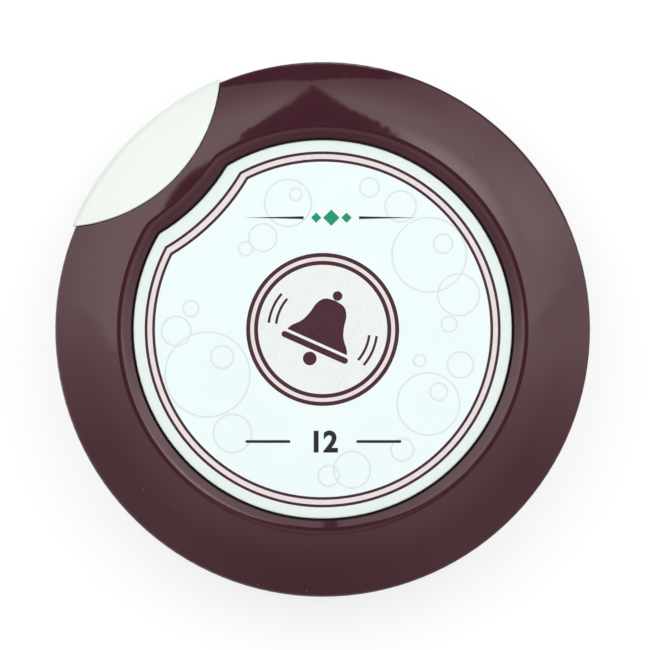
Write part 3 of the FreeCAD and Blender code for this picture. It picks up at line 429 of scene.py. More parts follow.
# Colour, roughness, width and depth of the grain, and how much of the colour its dark patches keep.
GRAINED = {
    "Print film": ((0.8, 0.88, 0.88), 0.55, 0.3 * MM, 0.002 * MM, 0.94),
    "Cap moulding": ((0.03, 0.012, 0.016), 0.42, 0.2 * MM, 0.003 * MM, 0.8),
    "Black moulding": ((0.013, 0.013, 0.014), 0.45, 0.14 * MM, 0.004 * MM, 0.7),
    "Stem moulding": ((0.03, 0.03, 0.03), 0.38, 0.12 * MM, 0.002 * MM, 0.85),
    "Gasket nylon": ((0.30, 0.31, 0.33), 0.4, 0.2 * MM, 0.002 * MM, 0.85),
    "Pressed powder": ((0.010, 0.010, 0.011), 0.8, 0.1 * MM, 0.012 * MM, 0.6),
    "Black epoxy": ((0.014, 0.014, 0.015), 0.5, 0.09 * MM, 0.006 * MM, 0.65),
    "Resistor glaze": ((0.016, 0.016, 0.018), 0.25, 0.3 * MM, 0.002 * MM, 0.8),
    "Tan ceramic": ((0.42, 0.29, 0.17), 0.55, 0.08 * MM, 0.003 * MM, 0.85),
    "White cup": ((0.78, 0.78, 0.76), 0.4, 0.2 * MM, 0.002 * MM, 0.95),
}
# Colour, roughness, the lines that its making leaves and their width, and what its dull patches keep.
METALS = {
    "Spring wire": ((0.52, 0.52, 0.54), 0.24, "Rolled metal", 0.05 * MM, 0.7),
    "Enamelled wire": ((0.60, 0.26, 0.12), 0.22, "Rolled metal", 0.06 * MM, 0.7),
    "Dome steel": ((0.62, 0.61, 0.58), 0.2, "Turned metal", 0.08 * MM, 0.7),
    "Copper trace": ((0.74, 0.40, 0.25), 0.34, "Turned metal", 0.2 * MM, 0.8),
    "Zinc plated steel": ((0.60, 0.61, 0.63), 0.3, "Turned metal", 0.1 * MM, 0.7),
    "Nickel plated steel": ((0.66, 0.64, 0.60), 0.26, "Rolled metal", 0.14 * MM, 0.7),
    "Tinned copper": ((0.68, 0.67, 0.64), 0.36, "Rolled metal", 0.1 * MM, 0.7),
    "Cell steel": ((0.66, 0.65, 0.63), 0.25, "Turned metal", 0.18 * MM, 0.7),
    "Lithium": ((0.58, 0.58, 0.60), 0.45, "Rolled metal", 0.2 * MM, 0.6),
    "Can lid": ((0.60, 0.58, 0.53), 0.3, "Rolled metal", 0.12 * MM, 0.7),
}


def shaded(colour, share):
    return tuple(part * share for part in colour)


def polished(name, colour, roughness, ripple_size, ripple_depth, **sockets):
    """Polished moulding with a faint ripple, dust and wipe marks."""
    finish = Finish(name, colour, roughness, IOR=1.5, **sockets)
    ripple = finish.use("Moulded ripple", Size=ripple_size)
    dust = finish.use("Settled dust", **SPECKS)
    lines = finish.use("Hairlines", **WIPE_MARKS)
    finish.raise_height(ripple["Height"], ripple_depth)
    finish.raise_height(dust["Mask"], SPECK_HEIGHT)
    finish.vary_colour(dust["Mask"], SPECK_COLOUR, SPECK_TONE)
    wear = finish.larger(lines["Mask"], finish.times(dust["Mask"], SPECK_DULLNESS))
    patchy = finish.plus(wear, finish.times(ripple["Patch"], RIPPLE_DULLNESS))
    finish.vary_roughness(patchy, roughness, roughness + DULLNESS)
    return finish


def grained(name, colour, roughness, size, depth, kept):
    """Matte plastic with the grain of its mould."""
    finish = Finish(name, colour, roughness)
    grain = finish.use("Spark grain", Size=size)
    finish.raise_height(grain["Height"], depth)
    finish.vary_colour(grain["Patch"], shaded(colour, kept), GRAIN_TONE)
    finish.vary_roughness(grain["Patch"], roughness - GRAIN_POLISH, roughness + GRAIN_DULLNESS)
    return finish.done()


def metal(name, colour, roughness, making, size, kept):
    """Bare metal with the lines that its making leaves."""
    finish = Finish(name, colour, roughness, Metallic=1.0)
    lines = finish.use(making, Size=size)
    finish.raise_height(lines["Height"], METAL_LINE_DEPTH)
    finish.vary_colour(lines["Patch"], shaded(colour, kept), METAL_TONE)
    finish.vary_roughness(lines["Patch"], roughness - METAL_POLISH, roughness + METAL_DULLNESS)
    return finish.done()


def stock(name):
    """Plastic or metal from the lists above."""
    return grained(name, *GRAINED[name]) if name in GRAINED else metal(name, *METALS[name])


def linked(name, data):
    """New object in the scene."""
    made = bpy.data.objects.new(name, data)
    bpy.context.scene.collection.objects.link(made)
    return made


def picked(parts, kind):
    return [part for part in parts if isinstance(part, kind)]


def finish_piece(bm, name, body, material, nodes=(), sharp_angle=35):
    """Turns a bmesh into a piece that rides on a body."""
    bmesh.ops.remove_doubles(bm, verts=bm.verts, dist=MERGE_DISTANCE)
    bmesh.ops.recalc_face_normals(bm, faces=bm.faces)
    mesh = bpy.data.meshes.new(name)
    bm.to_mesh(mesh)
    bm.free()
    mesh.shade_smooth()
    mesh.set_sharp_from_angle(angle=math.radians(sharp_angle))
    mesh.materials.append(material)
    piece = linked(name, mesh)
    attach(piece, body)
    if nodes:
        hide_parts(*nodes)
    return piece


def spun_edge(bm, first, second, centre, angle, steps):
    """Band swept by an edge about an upright axis. Gives the vertices at its start and at its end."""
    verts = [bm.verts.new(first), bm.verts.new(second)]
    edge = bm.edges.new(verts)
    whole = abs(angle) >= math.tau - 1e-6
    swept = bmesh.ops.spin(
        bm, geom=verts + [edge], cent=centre, axis=UP, dvec=(0, 0, 0), angle=angle, steps=steps,
        use_merge=whole, use_duplicate=False)
    return verts, picked(swept["geom_last"], bmesh.types.BMVert)


def at(centre, radius, angle):
    return centre + Vector((radius * math.cos(angle), radius * math.sin(angle), 0))


def ring_band(bm, centre, inner, outer, start=0.0, angle=math.tau, steps=96):
    """Flat ring, or a part of one."""
    return spun_edge(bm, at(centre, inner, start), at(centre, outer, start), centre, angle, steps)


def notch_corner(radius, notch):
    """Half angles of a notched round outline at its corner, about its middle and about the notch."""
    about_axis = (radius ** 2 + NOTCH_DISTANCE ** 2 - notch ** 2) / (2 * radius * NOTCH_DISTANCE)
    about_notch = (notch ** 2 + NOTCH_DISTANCE ** 2 - radius ** 2) / (2 * notch * NOTCH_DISTANCE)
    return math.acos(about_axis), math.acos(about_notch)


def notched_band(bm, outer, inner):
    """Flat band between two notched round outlines, each given as its radius and its notch radius."""
    axis = Vector((0, 0, 0))
    outlines = (inner, outer)
    halves = [notch_corner(*outline) for outline in outlines]
    half, notch_half = [sum(pair) / 2 for pair in zip(*halves)]
    corners = [
        [at(axis, outline[0], NOTCH_DIRECTION + side * reach[0])
         for outline, reach in zip(outlines, halves)]
        for side in (1, -1)]
    round_ends = ring_band(
        bm, axis, inner[0], outer[0], NOTCH_DIRECTION + half, math.tau - 2 * half, 160)
    notch_ends = ring_band(
        bm, NOTCH_CENTRE, inner[1], outer[1], NOTCH_DIRECTION + math.pi - notch_half, 2 * notch_half, 48)
    for ends, centre, order in ((round_ends, axis, 1), (notch_ends, NOTCH_CENTRE, -1)):
        for verts, pair in zip(ends, corners):
            by_distance = sorted(verts, key=lambda vert: (vert.co - centre).length)
            for vert, corner in zip(by_distance, pair[::order]):
                vert.co = corner


def raise_ink(bm, height):
    """Gives flat ink its thickness, from a little inside the face to a height over it."""
    bmesh.ops.remove_doubles(bm, verts=bm.verts, dist=MERGE_DISTANCE)
    bmesh.ops.translate(bm, verts=bm.verts, vec=(0, 0, FACE_TOP - INK_ROOT))
    grown = bmesh.ops.extrude_face_region(bm, geom=bm.faces[:])
    top = picked(grown["geom"], bmesh.types.BMVert)
    bmesh.ops.translate(bm, verts=top, vec=(0, 0, INK_ROOT + height))


def print_piece(bm, name, height, ink_name, colour):
    """Turns a flat shape into a printed piece on the push face."""
    raise_ink(bm, height)
    finish_piece(bm, name, "button", ink(ink_name, colour))


def join_shape(bm, other):
    """Adds another bmesh to a bmesh, and frees it."""
    part = bpy.data.meshes.new("part")
    other.to_mesh(part)
    other.free()
    bm.from_mesh(part)
    bpy.data.meshes.remove(part)


class DressRing(bpy.types.Operator):
    """Polished finish of the top ring"""

    bl_idname = "call_button.dress_ring"
    bl_label = "Top ring"

    def execute(self, context):
        shell = context.scene.call_button_shell
        finish = polished(
            "Maroon gloss", tuple(shell.gloss_colour), roughness=0.05, ripple_size=shell.ripple_size,
            ripple_depth=0.004 * MM, Specular_Tint=(1.0, 0.86, 0.84, 1))
        dress(finish.done(), "top_housing")
        return {"FINISHED"}


class DressShells(bpy.types.Operator):
    """Grained finish of the lower shell and the base plate"""

    bl_idname = "call_button.dress_shells"
    bl_label = "Lower shell and base"

    def execute(self, context):
        shell = context.scene.call_button_shell
        material = grained(
            "Maroon grained", tuple(shell.matte_colour), roughness=0.5, size=shell.grain_size,
            depth=0.006 * MM, kept=0.75)
        dress(material, "bottom_housing", "base_plate")
        return {"FINISHED"}


class DressLens(bpy.types.Operator):
    """Milky finish of the indicator lens"""

    bl_idname = "call_button.dress_lens"
    bl_label = "Indicator lens"

    def execute(self, context):
        colour = tuple(context.scene.call_button_shell.lens_colour)
        finish = polished(
            "Milky lens", colour, roughness=0.16, ripple_size=2.2 * MM, ripple_depth=0.0006 * MM)
        clouds = finish.use("Moulded ripple", Size=7 * MM)
        finish.vary_colour(clouds["Patch"], shaded(colour, 0.97), 0.8)
        dress(finish.done(), "indicator_lens")
        return {"FINISHED"}


class DressFace(bpy.types.Operator):
    """Finish of the push face, with its darker margin, and of the sheet under it"""

    bl_idname = "call_button.dress_face"
    bl_label = "Push face"

    def execute(self, context):
        shell = context.scene.call_button_shell
        lines = context.scene.call_button_print
        colour = tuple(shell.face_colour)
        finish = polished(
            "Face film", colour, roughness=0.2, ripple_size=3.4 * MM, ripple_depth=0.0004 * MM)
        margin = finish.use(
            "Outside the border", Round_radius=lines.outer_radius, Notch_radius=lines.outer_notch)
        clouds = finish.use("Moulded ripple", Size=6 * MM)
        finish.vary_colour(clouds["Patch"], shaded(colour, 0.96), 0.8)
        finish.vary_colour(margin["Mask"], tuple(shell.margin_colour))
        dress(finish.done(), "face_plate")
        dress(stock("Print film"), "graphic_sheet")
        return {"FINISHED"}


class PrintBorder(bpy.types.Operator):
    """Two border lines of the push face and the tint between them"""

    bl_idname = "call_button.print_border"
    bl_label = "Border lines"

    def execute(self, context):
        lines = context.scene.call_button_print
        half = lines.line_width / 2
        outer = (lines.outer_radius, lines.outer_notch)
        inner = (lines.inner_radius, lines.inner_notch)

        def grown(outline, by):
            return outline[0] + by, outline[1] - by

        bm = bmesh.new()
        for outline in (outer, inner):
            notched_band(bm, grown(outline, half), grown(outline, -half))
        print_piece(bm, "border_lines", INK_HEIGHT, "Maroon ink", lines.ink_colour)
        bm = bmesh.new()
        notched_band(bm, grown(outer, -half / 2), grown(inner, half / 2))
        print_piece(bm, "border_tint", TINT_HEIGHT, "Tint ink", lines.ring_tint)
        return {"FINISHED"}


def ink(name, colour):
    """Screen-printed ink, a little uneven at its full tone."""
    if name in bpy.data.materials:
        return bpy.data.materials[name]
    colour = tuple(colour)
    finish = Finish(name, colour, 0.3, Specular_IOR_Level=INK_GLOSS)
    uneven = finish.use("Moulded ripple", Size=0.5 * MM)
    finish.vary_colour(uneven["Patch"], tuple(part * 0.8 + 0.012 for part in colour), 0.6)
    finish.vary_roughness(uneven["Patch"], 0.24, 0.36)
    return finish.done()


class PrintRings(bpy.types.Operator):
    """Double ring in the middle of the push face and the tint between"""

    bl_idname = "call_button.print_rings"
    bl_label = "Central rings"

    def execute(self, context):
        lines = context.scene.call_button_print
        half = lines.ring_width / 2
        centre = Vector((0, 0, 0))
        bm = bmesh.new()
        for radius in (lines.ring_radius, lines.inner_ring_radius):
            ring_band(bm, centre, radius - half, radius + half)
        print_piece(bm, "central_rings", INK_HEIGHT, "Maroon ink", lines.ink_colour)
        bm = bmesh.new()
        ring_band(bm, centre, lines.inner_ring_radius, lines.ring_radius)
        print_piece(bm, "central_tint", TINT_HEIGHT, "Tint ink", lines.ring_tint)
        bm = bmesh.new()
        bmesh.ops.create_circle(bm, cap_ends=True, segments=96, radius=lines.inner_ring_radius)
        print_piece(bm, "central_field", FIELD_HEIGHT, "Field ink", lines.field_colour)
        return {"FINISHED"}


BELL_PROFILE = (
    (0, 2.75), (0.95, 2.62), (1.45, 1.95), (1.62, 0.9), (1.95, 0.0), (2.75, -0.85), (2.85, -1.2),
    (0, -1.2),
)
BELL_ROUNDING = 0.36
LIP_MIDDLE, LIP_HALF_LENGTH, LIP_HALF_WIDTH = (0, -1.72), 3.15, 0.27
KNOB_MIDDLE, KNOB_RADIUS = Vector((0, 3.2, 0)), 0.42
CLAPPER_MIDDLE, CLAPPER_RADIUS = Vector((0, -2.78, 0)), 0.6
SWING_RADII = (4.1, 4.75)
SWING_HALF_WIDTH = 0.11
SWING_ANGLE = math.radians(34)
BELL_TILT = math.radians(-24)
BELL_SCALE = 1.32


def bell_shape(bm):
    """Flat body of a small hand bell."""
    verts = [bm.verts.new((x, y, 0)) for x, y in BELL_PROFILE]
    for pair in zip(verts, verts[1:]):
        bm.edges.new(pair)
    bmesh.ops.bevel(
        bm, geom=verts[1:-2], offset=BELL_ROUNDING, offset_type="OFFSET", affect="VERTICES", segments=5,
        profile=0.5, material=-1)
    bmesh.ops.mirror(bm, geom=bm.verts[:] + bm.edges[:] + bm.faces[:], axis="X", merge_dist=0.0001)
    bmesh.ops.contextual_create(bm, geom=bm.edges[:])


class PrintBell(bpy.types.Operator):
    """Bell sign in the middle of the push face"""

    bl_idname = "call_button.print_bell"
    bl_label = "Bell sign"

    def execute(self, context):
        lines = context.scene.call_button_print
        bm = bmesh.new()
        bell_shape(bm)
        rounded_bar(bm, LIP_MIDDLE, LIP_HALF_LENGTH, LIP_HALF_WIDTH)
        ring_band(bm, KNOB_MIDDLE, 0.0, KNOB_RADIUS, steps=32)
        ring_band(bm, CLAPPER_MIDDLE, 0.0, CLAPPER_RADIUS, steps=32)
        for side in (0.0, math.pi):
            for radius in SWING_RADII:
                ring_band(bm, Vector((0, 0, 0)), radius - SWING_HALF_WIDTH, radius + SWING_HALF_WIDTH,
                          side - SWING_ANGLE / 2, SWING_ANGLE, 20)
        place = Matrix.Rotation(BELL_TILT, 4, "Z") @ Matrix.Scale(BELL_SCALE * MM, 4)
        bmesh.ops.transform(bm, matrix=place, verts=bm.verts)
        print_piece(bm, "bell_sign", INK_HEIGHT, "Maroon ink", lines.ink_colour)
        return {"FINISHED"}


def rounded_bar(bm, middle, half_length, half_width):
    """Flat bar along X with round ends."""
    across = Vector((half_length - half_width, 0, 0))
    centre = Vector((*middle, 0))
    for side, start in ((1, -math.pi / 2), (-1, math.pi / 2)):
        ring_band(bm, centre + across * side, 0.0, half_width, start, math.pi, 16)
    corners = [centre + across * side + Vector((0, half_width * up, 0))
               for side, up in ((-1, -1), (1, -1), (1, 1), (-1, 1))]
    bm.faces.new([bm.verts.new(corner) for corner in corners])


# Middle and radius of each faint circle, in millimetres.
BUBBLES = (
    (12.3, 8.6, 4.3), (13.9, 9.9, 1.1), (15.7, 4.0, 2.4), (9.0, 14.2, 1.8), (5.4, 16.4, 1.1),
    (14.6, 0.6, 0.9), (-13.3, -5.2, 4.9), (-11.6, -3.2, 1.3), (-16.9, -0.2, 1.7), (-15.2, 2.4, 0.9),
    (-10.4, -12.0, 2.2), (12.2, -8.6, 3.6), (13.4, -7.2, 1.0), (15.9, -4.1, 1.5), (9.2, -13.9, 1.3),
    (11.2, -3.6, 0.7), (3.4, -16.2, 2.1), (0.7, -16.9, 1.2), (-6.9, 10.6, 1.6), (-8.9, 9.3, 0.8),
    (-4.0, 14.6, 2.7), (-3.1, 15.6, 0.7),
)
NUMBER_MIDDLE = Vector((0.08, -12.94, 0)) * MM
NUMBER_WEIGHT = 0.035
RULE_ASIDE, RULE_HALF_LENGTH, RULE_HALF_WIDTH = 6.4, 2.6, 0.16
ORNAMENT_MIDDLE = Vector((1.0, 12.9, 0)) * MM
ORNAMENT_RULE = ((3.2, -0.16), (3.2, 0.16), (10.0, 0.0))
LOZENGES = ((-1.75, 0.6), (0.0, 0.95), (1.75, 0.6))


class PrintCircles(bpy.types.Operator):
    """Faint circles scattered over the push face"""

    bl_idname = "call_button.print_circles"
    bl_label = "Faint circles"

    def execute(self, context):
        lines = context.scene.call_button_print
        half = lines.circle_width / 2
        total = bmesh.new()
        for place, (x, y, radius) in enumerate(BUBBLES):
            bm = bmesh.new()
            ring_band(bm, Vector((x, y, 0)) * MM, radius * MM - half, radius * MM + half, steps=64)
            raise_ink(bm, CIRCLE_HEIGHT + CIRCLE_STEP * place)
            join_shape(total, bm)
        material = ink("Pale ink", lines.bubble_colour)
        finish_piece(total, "faint_circles", "button", material)
        return {"FINISHED"}


class PrintNumber(bpy.types.Operator):
    """Plain table number, between two short rules"""

    bl_idname = "call_button.print_number"
    bl_label = "Table number"

    def execute(self, context):
        lines = context.scene.call_button_print
        curve = bpy.data.curves.new("table_number", "FONT")
        curve.body = lines.numeral
        curve.align_x = "CENTER"
        curve.align_y = "CENTER"
        curve.resolution_u = 12
        curve.offset = NUMBER_WEIGHT
        text = linked("table_number", curve)
        bpy.context.view_layer.update()
        flat = bpy.data.meshes.new_from_object(text.evaluated_get(bpy.context.evaluated_depsgraph_get()))
        bpy.data.objects.remove(text)
        bpy.data.curves.remove(curve)
        bm = bmesh.new()
        bm.from_mesh(flat)
        bpy.data.meshes.remove(flat)
        bmesh.ops.delete(bm, geom=[face for face in bm.faces if face.normal.z < 0.5], context="FACES")
        low = min(vert.co.y for vert in bm.verts)
        high = max(vert.co.y for vert in bm.verts)
        middle = (low + high) / 2
        scale = lines.numeral_height / (high - low)
        centre = Matrix.Translation(NUMBER_MIDDLE)
        place = centre @ Matrix.Scale(scale, 4) @ Matrix.Translation((0, -middle, 0))
        bmesh.ops.transform(bm, matrix=place, verts=bm.verts)
        for side in (-1, 1):
            bar = bmesh.new()
            rounded_bar(bar, (side * RULE_ASIDE, 0), RULE_HALF_LENGTH, RULE_HALF_WIDTH)
            bmesh.ops.transform(bar, matrix=centre @ Matrix.Scale(MM, 4), verts=bar.verts)
            join_shape(bm, bar)
        print_piece(bm, "table_number", INK_HEIGHT, "Black ink", lines.numeral_colour)
        return {"FINISHED"}


class PrintOrnament(bpy.types.Operator):
    """Plain ornament near the top of the push face: two tapered rules and three lozenges"""

    bl_idname = "call_button.print_ornament"
    bl_label = "Ornament"

    def execute(self, context):
        lines = context.scene.call_button_print
        centre = Matrix.Translation(ORNAMENT_MIDDLE) @ Matrix.Scale(MM, 4)
        bm = bmesh.new()
        for side in (-1, 1):
            verts = [bm.verts.new((side * x, y, 0)) for x, y in ORNAMENT_RULE]
            bm.faces.new(verts)
        bmesh.ops.transform(bm, matrix=centre, verts=bm.verts)
        print_piece(bm, "ornament_rules", INK_HEIGHT, "Black ink", lines.numeral_colour)
        bm = bmesh.new()
        for x, radius in LOZENGES:
            made = bmesh.ops.create_circle(bm, cap_ends=True, segments=4, radius=radius)
            bmesh.ops.translate(bm, verts=made["verts"], vec=(x, 0, 0))
        bmesh.ops.transform(bm, matrix=centre, verts=bm.verts)
        print_piece(bm, "ornament_lozenges", INK_HEIGHT, "Green ink", lines.accent_colour)
        return {"FINISHED"}


FOAM_WIDTH, FOAM_ROUNDING = 9.0 * MM, 0.18 * MM
SPRING_WIRE, SPRING_RADIUS, SPRING_TURNS = 0.175 * MM, 1.55 * MM, 3.5
SPRING_CIRCLE, SPRING_ANGLES = 15.5 * MM, (15, 135, 255)
COIL_WIRE, COIL_RADIUS, COIL_TURNS = 0.2 * MM, 0.95 * MM, 4.5
DOME_WALL = 0.08 * MM


def profile_ring(bm, points, rounding=0.0, steps=160):
    """Ring or disc spun from a closed profile of radius and height."""
    verts = [bm.verts.new((radius, 0, height)) for radius, height in points]
    for pair in zip(verts, verts[1:] + verts[:1]):
        bm.edges.new(pair)
    if rounding:
        bmesh.ops.bevel(
            bm, geom=verts, offset=rounding, offset_type="OFFSET", affect="VERTICES", segments=4,
            profile=0.5, material=-1)
    bmesh.ops.spin(
        bm, geom=bm.verts[:] + bm.edges[:], cent=(0, 0, 0), axis=UP, dvec=(0, 0, 0), angle=math.tau,
        steps=steps, use_merge=True, use_duplicate=False)


class FoamRing(bpy.types.Operator):
    """Foam ring under the base, with soft edges"""

    bl_idname = "call_button.foam_ring"
    bl_label = "Foam ring"

    def execute(self, context):
        low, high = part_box("base_pad")
        outer = high.x
        inner = outer - FOAM_WIDTH
        bm = bmesh.new()
        corners = ((inner, low.z), (outer, low.z), (outer, high.z), (inner, high.z))
        profile_ring(bm, corners, FOAM_ROUNDING)
        finish = Finish("Foam", (0.022, 0.022, 0.024), 0.85)
        cells = finish.use("Foam cells", Size=0.32 * MM)
        finish.raise_height(cells["Height"], 0.05 * MM)
        finish.vary_colour(cells["Patch"], (0.055, 0.055, 0.058), 0.8)
        finish_piece(bm, "foam_ring", "base", finish.done(), ["base_pad"])
        return {"FINISHED"}


def coil(bm, centre, wire, rise, turns, axis, start, per_turn=40, leg=0.0):
    """Round wire wound about an axis, from a start point, with straight legs if asked."""
    across = (start - centre).normalized()
    along = axis.cross(across)
    made = bmesh.ops.create_circle(bm, segments=12, radius=wire)
    turn = UP.rotation_difference(along).to_matrix().to_4x4()
    place = Matrix.Translation(start - along * leg) @ turn
    bmesh.ops.transform(bm, matrix=place, verts=made["verts"])
    ends = [edge for edge in bm.edges if edge.is_wire and set(edge.verts) <= set(made["verts"])]
    caps = [ends]
    if leg:
        ends = pushed(bm, ends, along * leg)
    steps = round(turns * per_turn)
    wound = bmesh.ops.spin(
        bm, geom=ends, cent=centre, axis=axis, dvec=axis * (rise / steps),
        angle=turns * math.tau, steps=steps, use_merge=False, use_duplicate=False)
    ends = picked(wound["geom_last"], bmesh.types.BMEdge)
    if leg:
        direction = Matrix.Rotation(turns * math.tau, 3, axis) @ along
        ends = pushed(bm, ends, direction * leg)
    caps.append(ends)
    for loop in caps:
        bmesh.ops.contextual_create(bm, geom=loop)


def pushed(bm, edges, by):
    """Extrudes a loop of edges and gives the new loop."""
    made = bmesh.ops.extrude_edge_only(bm, edges=edges)
    verts = picked(made["geom"], bmesh.types.BMVert)
    bmesh.ops.translate(bm, verts=verts, vec=by)
    return [edge for edge in picked(made["geom"], bmesh.types.BMEdge) if set(edge.verts) <= set(verts)]


class WindSprings(bpy.types.Operator):
    """Three return springs, wound from round wire in place of the imported springs"""

    bl_idname = "call_button.wind_springs"
    bl_label = "Return springs"

    def execute(self, context):
        low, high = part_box("return_springs")
        rise = high.z - low.z - 2 * SPRING_WIRE
        bm = bmesh.new()
        for angle in SPRING_ANGLES:
            middle = at(Vector((0, 0, low.z + SPRING_WIRE)), SPRING_CIRCLE, math.radians(angle))
            start = middle + Vector((SPRING_RADIUS, 0, 0))
            coil(bm, middle, SPRING_WIRE, rise, SPRING_TURNS, UP, start)
        springs = finish_piece(
            bm, "coil_springs", "housing", stock("Spring wire"), ["return_springs"], 60)
        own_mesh(springs)
        return {"FINISHED"}


class WindCoil(bpy.types.Operator):
    """Air-wound tuning coil on the board"""

    bl_idname = "call_button.wind_coil"
    bl_label = "Tuning coil"

    def execute(self, context):
        low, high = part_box("tuning_coil")
        rise = (high.y - low.y) - 2 * COIL_WIRE
        reach = COIL_RADIUS + COIL_WIRE
        centre = Vector(((low.x + high.x) / 2, high.y - COIL_WIRE, high.z - reach))
        start = centre + Vector((COIL_RADIUS, 0, 0))
        bm = bmesh.new()
        coil(bm, centre, COIL_WIRE, rise, COIL_TURNS, Vector((0, -1, 0)), start, leg=reach)
        finish_piece(bm, "air_coil", "housing", stock("Enamelled wire"), ["tuning_coil"], 60)
        return {"FINISHED"}


class FormDome(bpy.types.Operator):
    """Snap dome in the key switch, spun from its rim and top in place of the imported dome"""

    bl_idname = "call_button.form_dome"
    bl_label = "Snap dome"

    def execute(self, context):
        low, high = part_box("switch_dome")
        radius, height = high.x, high.z - low.z
        bm = bmesh.new()
        outer = dome_arc(radius, height, 12)
        inner = dome_arc(radius - DOME_WALL, height - DOME_WALL, 12)
        profile_ring(bm, [(x, low.z + z) for x, z in outer + inner[::-1]], steps=64)
        bmesh.ops.dissolve_degenerate(bm, dist=0.0005 * MM, edges=bm.edges)
        dome = finish_piece(
            bm, "snap_dome", "housing", stock("Dome steel"), ["switch_dome"], 50)
        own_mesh(dome)
        return {"FINISHED"}


def dome_arc(radius, height, steps):
    """Points of a shallow cap's profile, from its rim to its top."""
    ball = (radius ** 2 + height ** 2) / (2 * height)
    reach = math.asin(radius / ball)
    points = []
    for step in range(steps + 1):
        angle = reach * (1 - step / steps)
        points.append((ball * math.sin(angle), height - ball * (1 - math.cos(angle))))
    return points


class DressCap(bpy.types.Operator):
    """Moulded finish of the button cap, the cell holder and the switch"""

    bl_idname = "call_button.dress_cap"
    bl_label = "Inner mouldings"

    def execute(self, context):
        dress(stock("Cap moulding"), "button_cap")
        dress(stock("Black moulding"), "battery_holder", "switch_base")
        dress(stock("Stem moulding"), "switch_stem")
        return {"FINISHED"}


class DressBoard(bpy.types.Operator):
    """Finish of the circuit board and its copper"""

    bl_idname = "call_button.dress_board"
    bl_label = "Circuit board"

    def execute(self, context):
        finish = Finish("Solder resist", (0.012, 0.12, 0.045), 0.28, Coat_Weight=0.3)
        weave = finish.use("Board weave", Size=0.55 * MM)
        finish.raise_height(weave["Height"], 0.003 * MM)
        finish.vary_colour(weave["Patch"], (0.02, 0.17, 0.07), 0.7)
        finish.vary_colour(weave["Height"], (0.008, 0.085, 0.03), 0.25)
        dress(finish.done(), "circuit_board")
        dress(stock("Copper trace"), "antenna_trace")
        return {"FINISHED"}


class DressMetal(bpy.types.Operator):
    """Finish of the screws, the switch cover and the contacts"""

    bl_idname = "call_button.dress_metal"
    bl_label = "Screws and contacts"

    def execute(self, context):
        dress(stock("Zinc plated steel"), "housing_screws", "board_screws")
        dress(stock("Nickel plated steel"), "switch_cover", "positive_contact", "negative_contact")
        dress(stock("Tinned copper"), "switch_legs", "encoder_leads")
        return {"FINISHED"}


class DressCell(bpy.types.Operator):
    """Finish of the coin cell's layers"""

    bl_idname = "call_button.dress_cell"
    bl_label = "Coin cell"

    def execute(self, context):
        dress(stock("Cell steel"), "coin_cell_can", "coin_cell_cap")
        dress(stock("Gasket nylon"), "coin_cell_gasket")
        dress(stock("Pressed powder"), "coin_cell_cathode")
        felt = Finish("Separator felt", (0.70, 0.69, 0.64), 0.9)
        fibres = felt.use("Fibres", Size=0.12 * MM)
        felt.raise_height(fibres["Height"], 0.012 * MM)
        felt.vary_colour(fibres["Patch"], (0.80, 0.79, 0.75), 0.8)
        dress(felt.done(), "coin_cell_separator")
        dress(stock("Lithium"), "coin_cell_anode")
        return {"FINISHED"}


class DressParts(bpy.types.Operator):
    """Finish of the parts on the board"""

    bl_idname = "call_button.dress_parts"
    bl_label = "Board parts"

    def execute(self, context):
        dress(stock("Black epoxy"), "encoder_chip", "rf_transistor")
        dress(stock("Can lid"), "saw_resonator")
        dress(stock("Resistor glaze"), "chip_resistors")
        dress(stock("Tan ceramic"), "chip_capacitors")
        dress(stock("White cup"), "indicator_leds")
        window = Finish("Clear epoxy", (0.93, 0.95, 0.90), 0.05, Transmission_Weight=1.0, IOR=1.52)
        ripple = window.use("Moulded ripple", Size=0.8 * MM)
        window.raise_height(ripple["Height"], 0.001 * MM)
        window.vary_colour(ripple["Patch"], (0.97, 0.96, 0.85), 0.4)
        dress(window.done(), "led_windows")
        return {"FINISHED"}


def light_mix(wiring, plain, shown):
    """Mixes two shaders, so that the camera, mirrors and glass see the second one."""
    path = wiring.node("LightPath").outputs
    seen = wiring.larger(path["Is Camera Ray"], path["Is Glossy Ray"])
    seen = wiring.larger(seen, path["Is Transmission Ray"])
    mixed = wiring.node("MixShader", {"Fac": seen})
    wiring.feed(mixed.inputs[1], plain)
    wiring.feed(mixed.inputs[2], shown)
    return mixed.outputs[0]


SOFTBOX_MIDDLE = (0.588, 0.454)
SOFTBOX_LEAN = math.radians(13)
SOFTBOX_LOW, SOFTBOX_FAR = 0.39, 0.56
SOFTBOX_TURN = math.radians(2.3)
SIDES_TURN = math.radians(-3)
INNER_EDGE_CROSSING = 0.64
TOP_EDGE_CROSSING = 0.68
TOP_EDGE_LEAN = math.radians(26.3)
EDGE_BLUR = 0.006
LOW_EDGE_BLUR = 0.03
HOT_SPOT = (0.152, 0.168)
LEAST_RISE, LEAST_DISTANCE = 0.02, 0.002
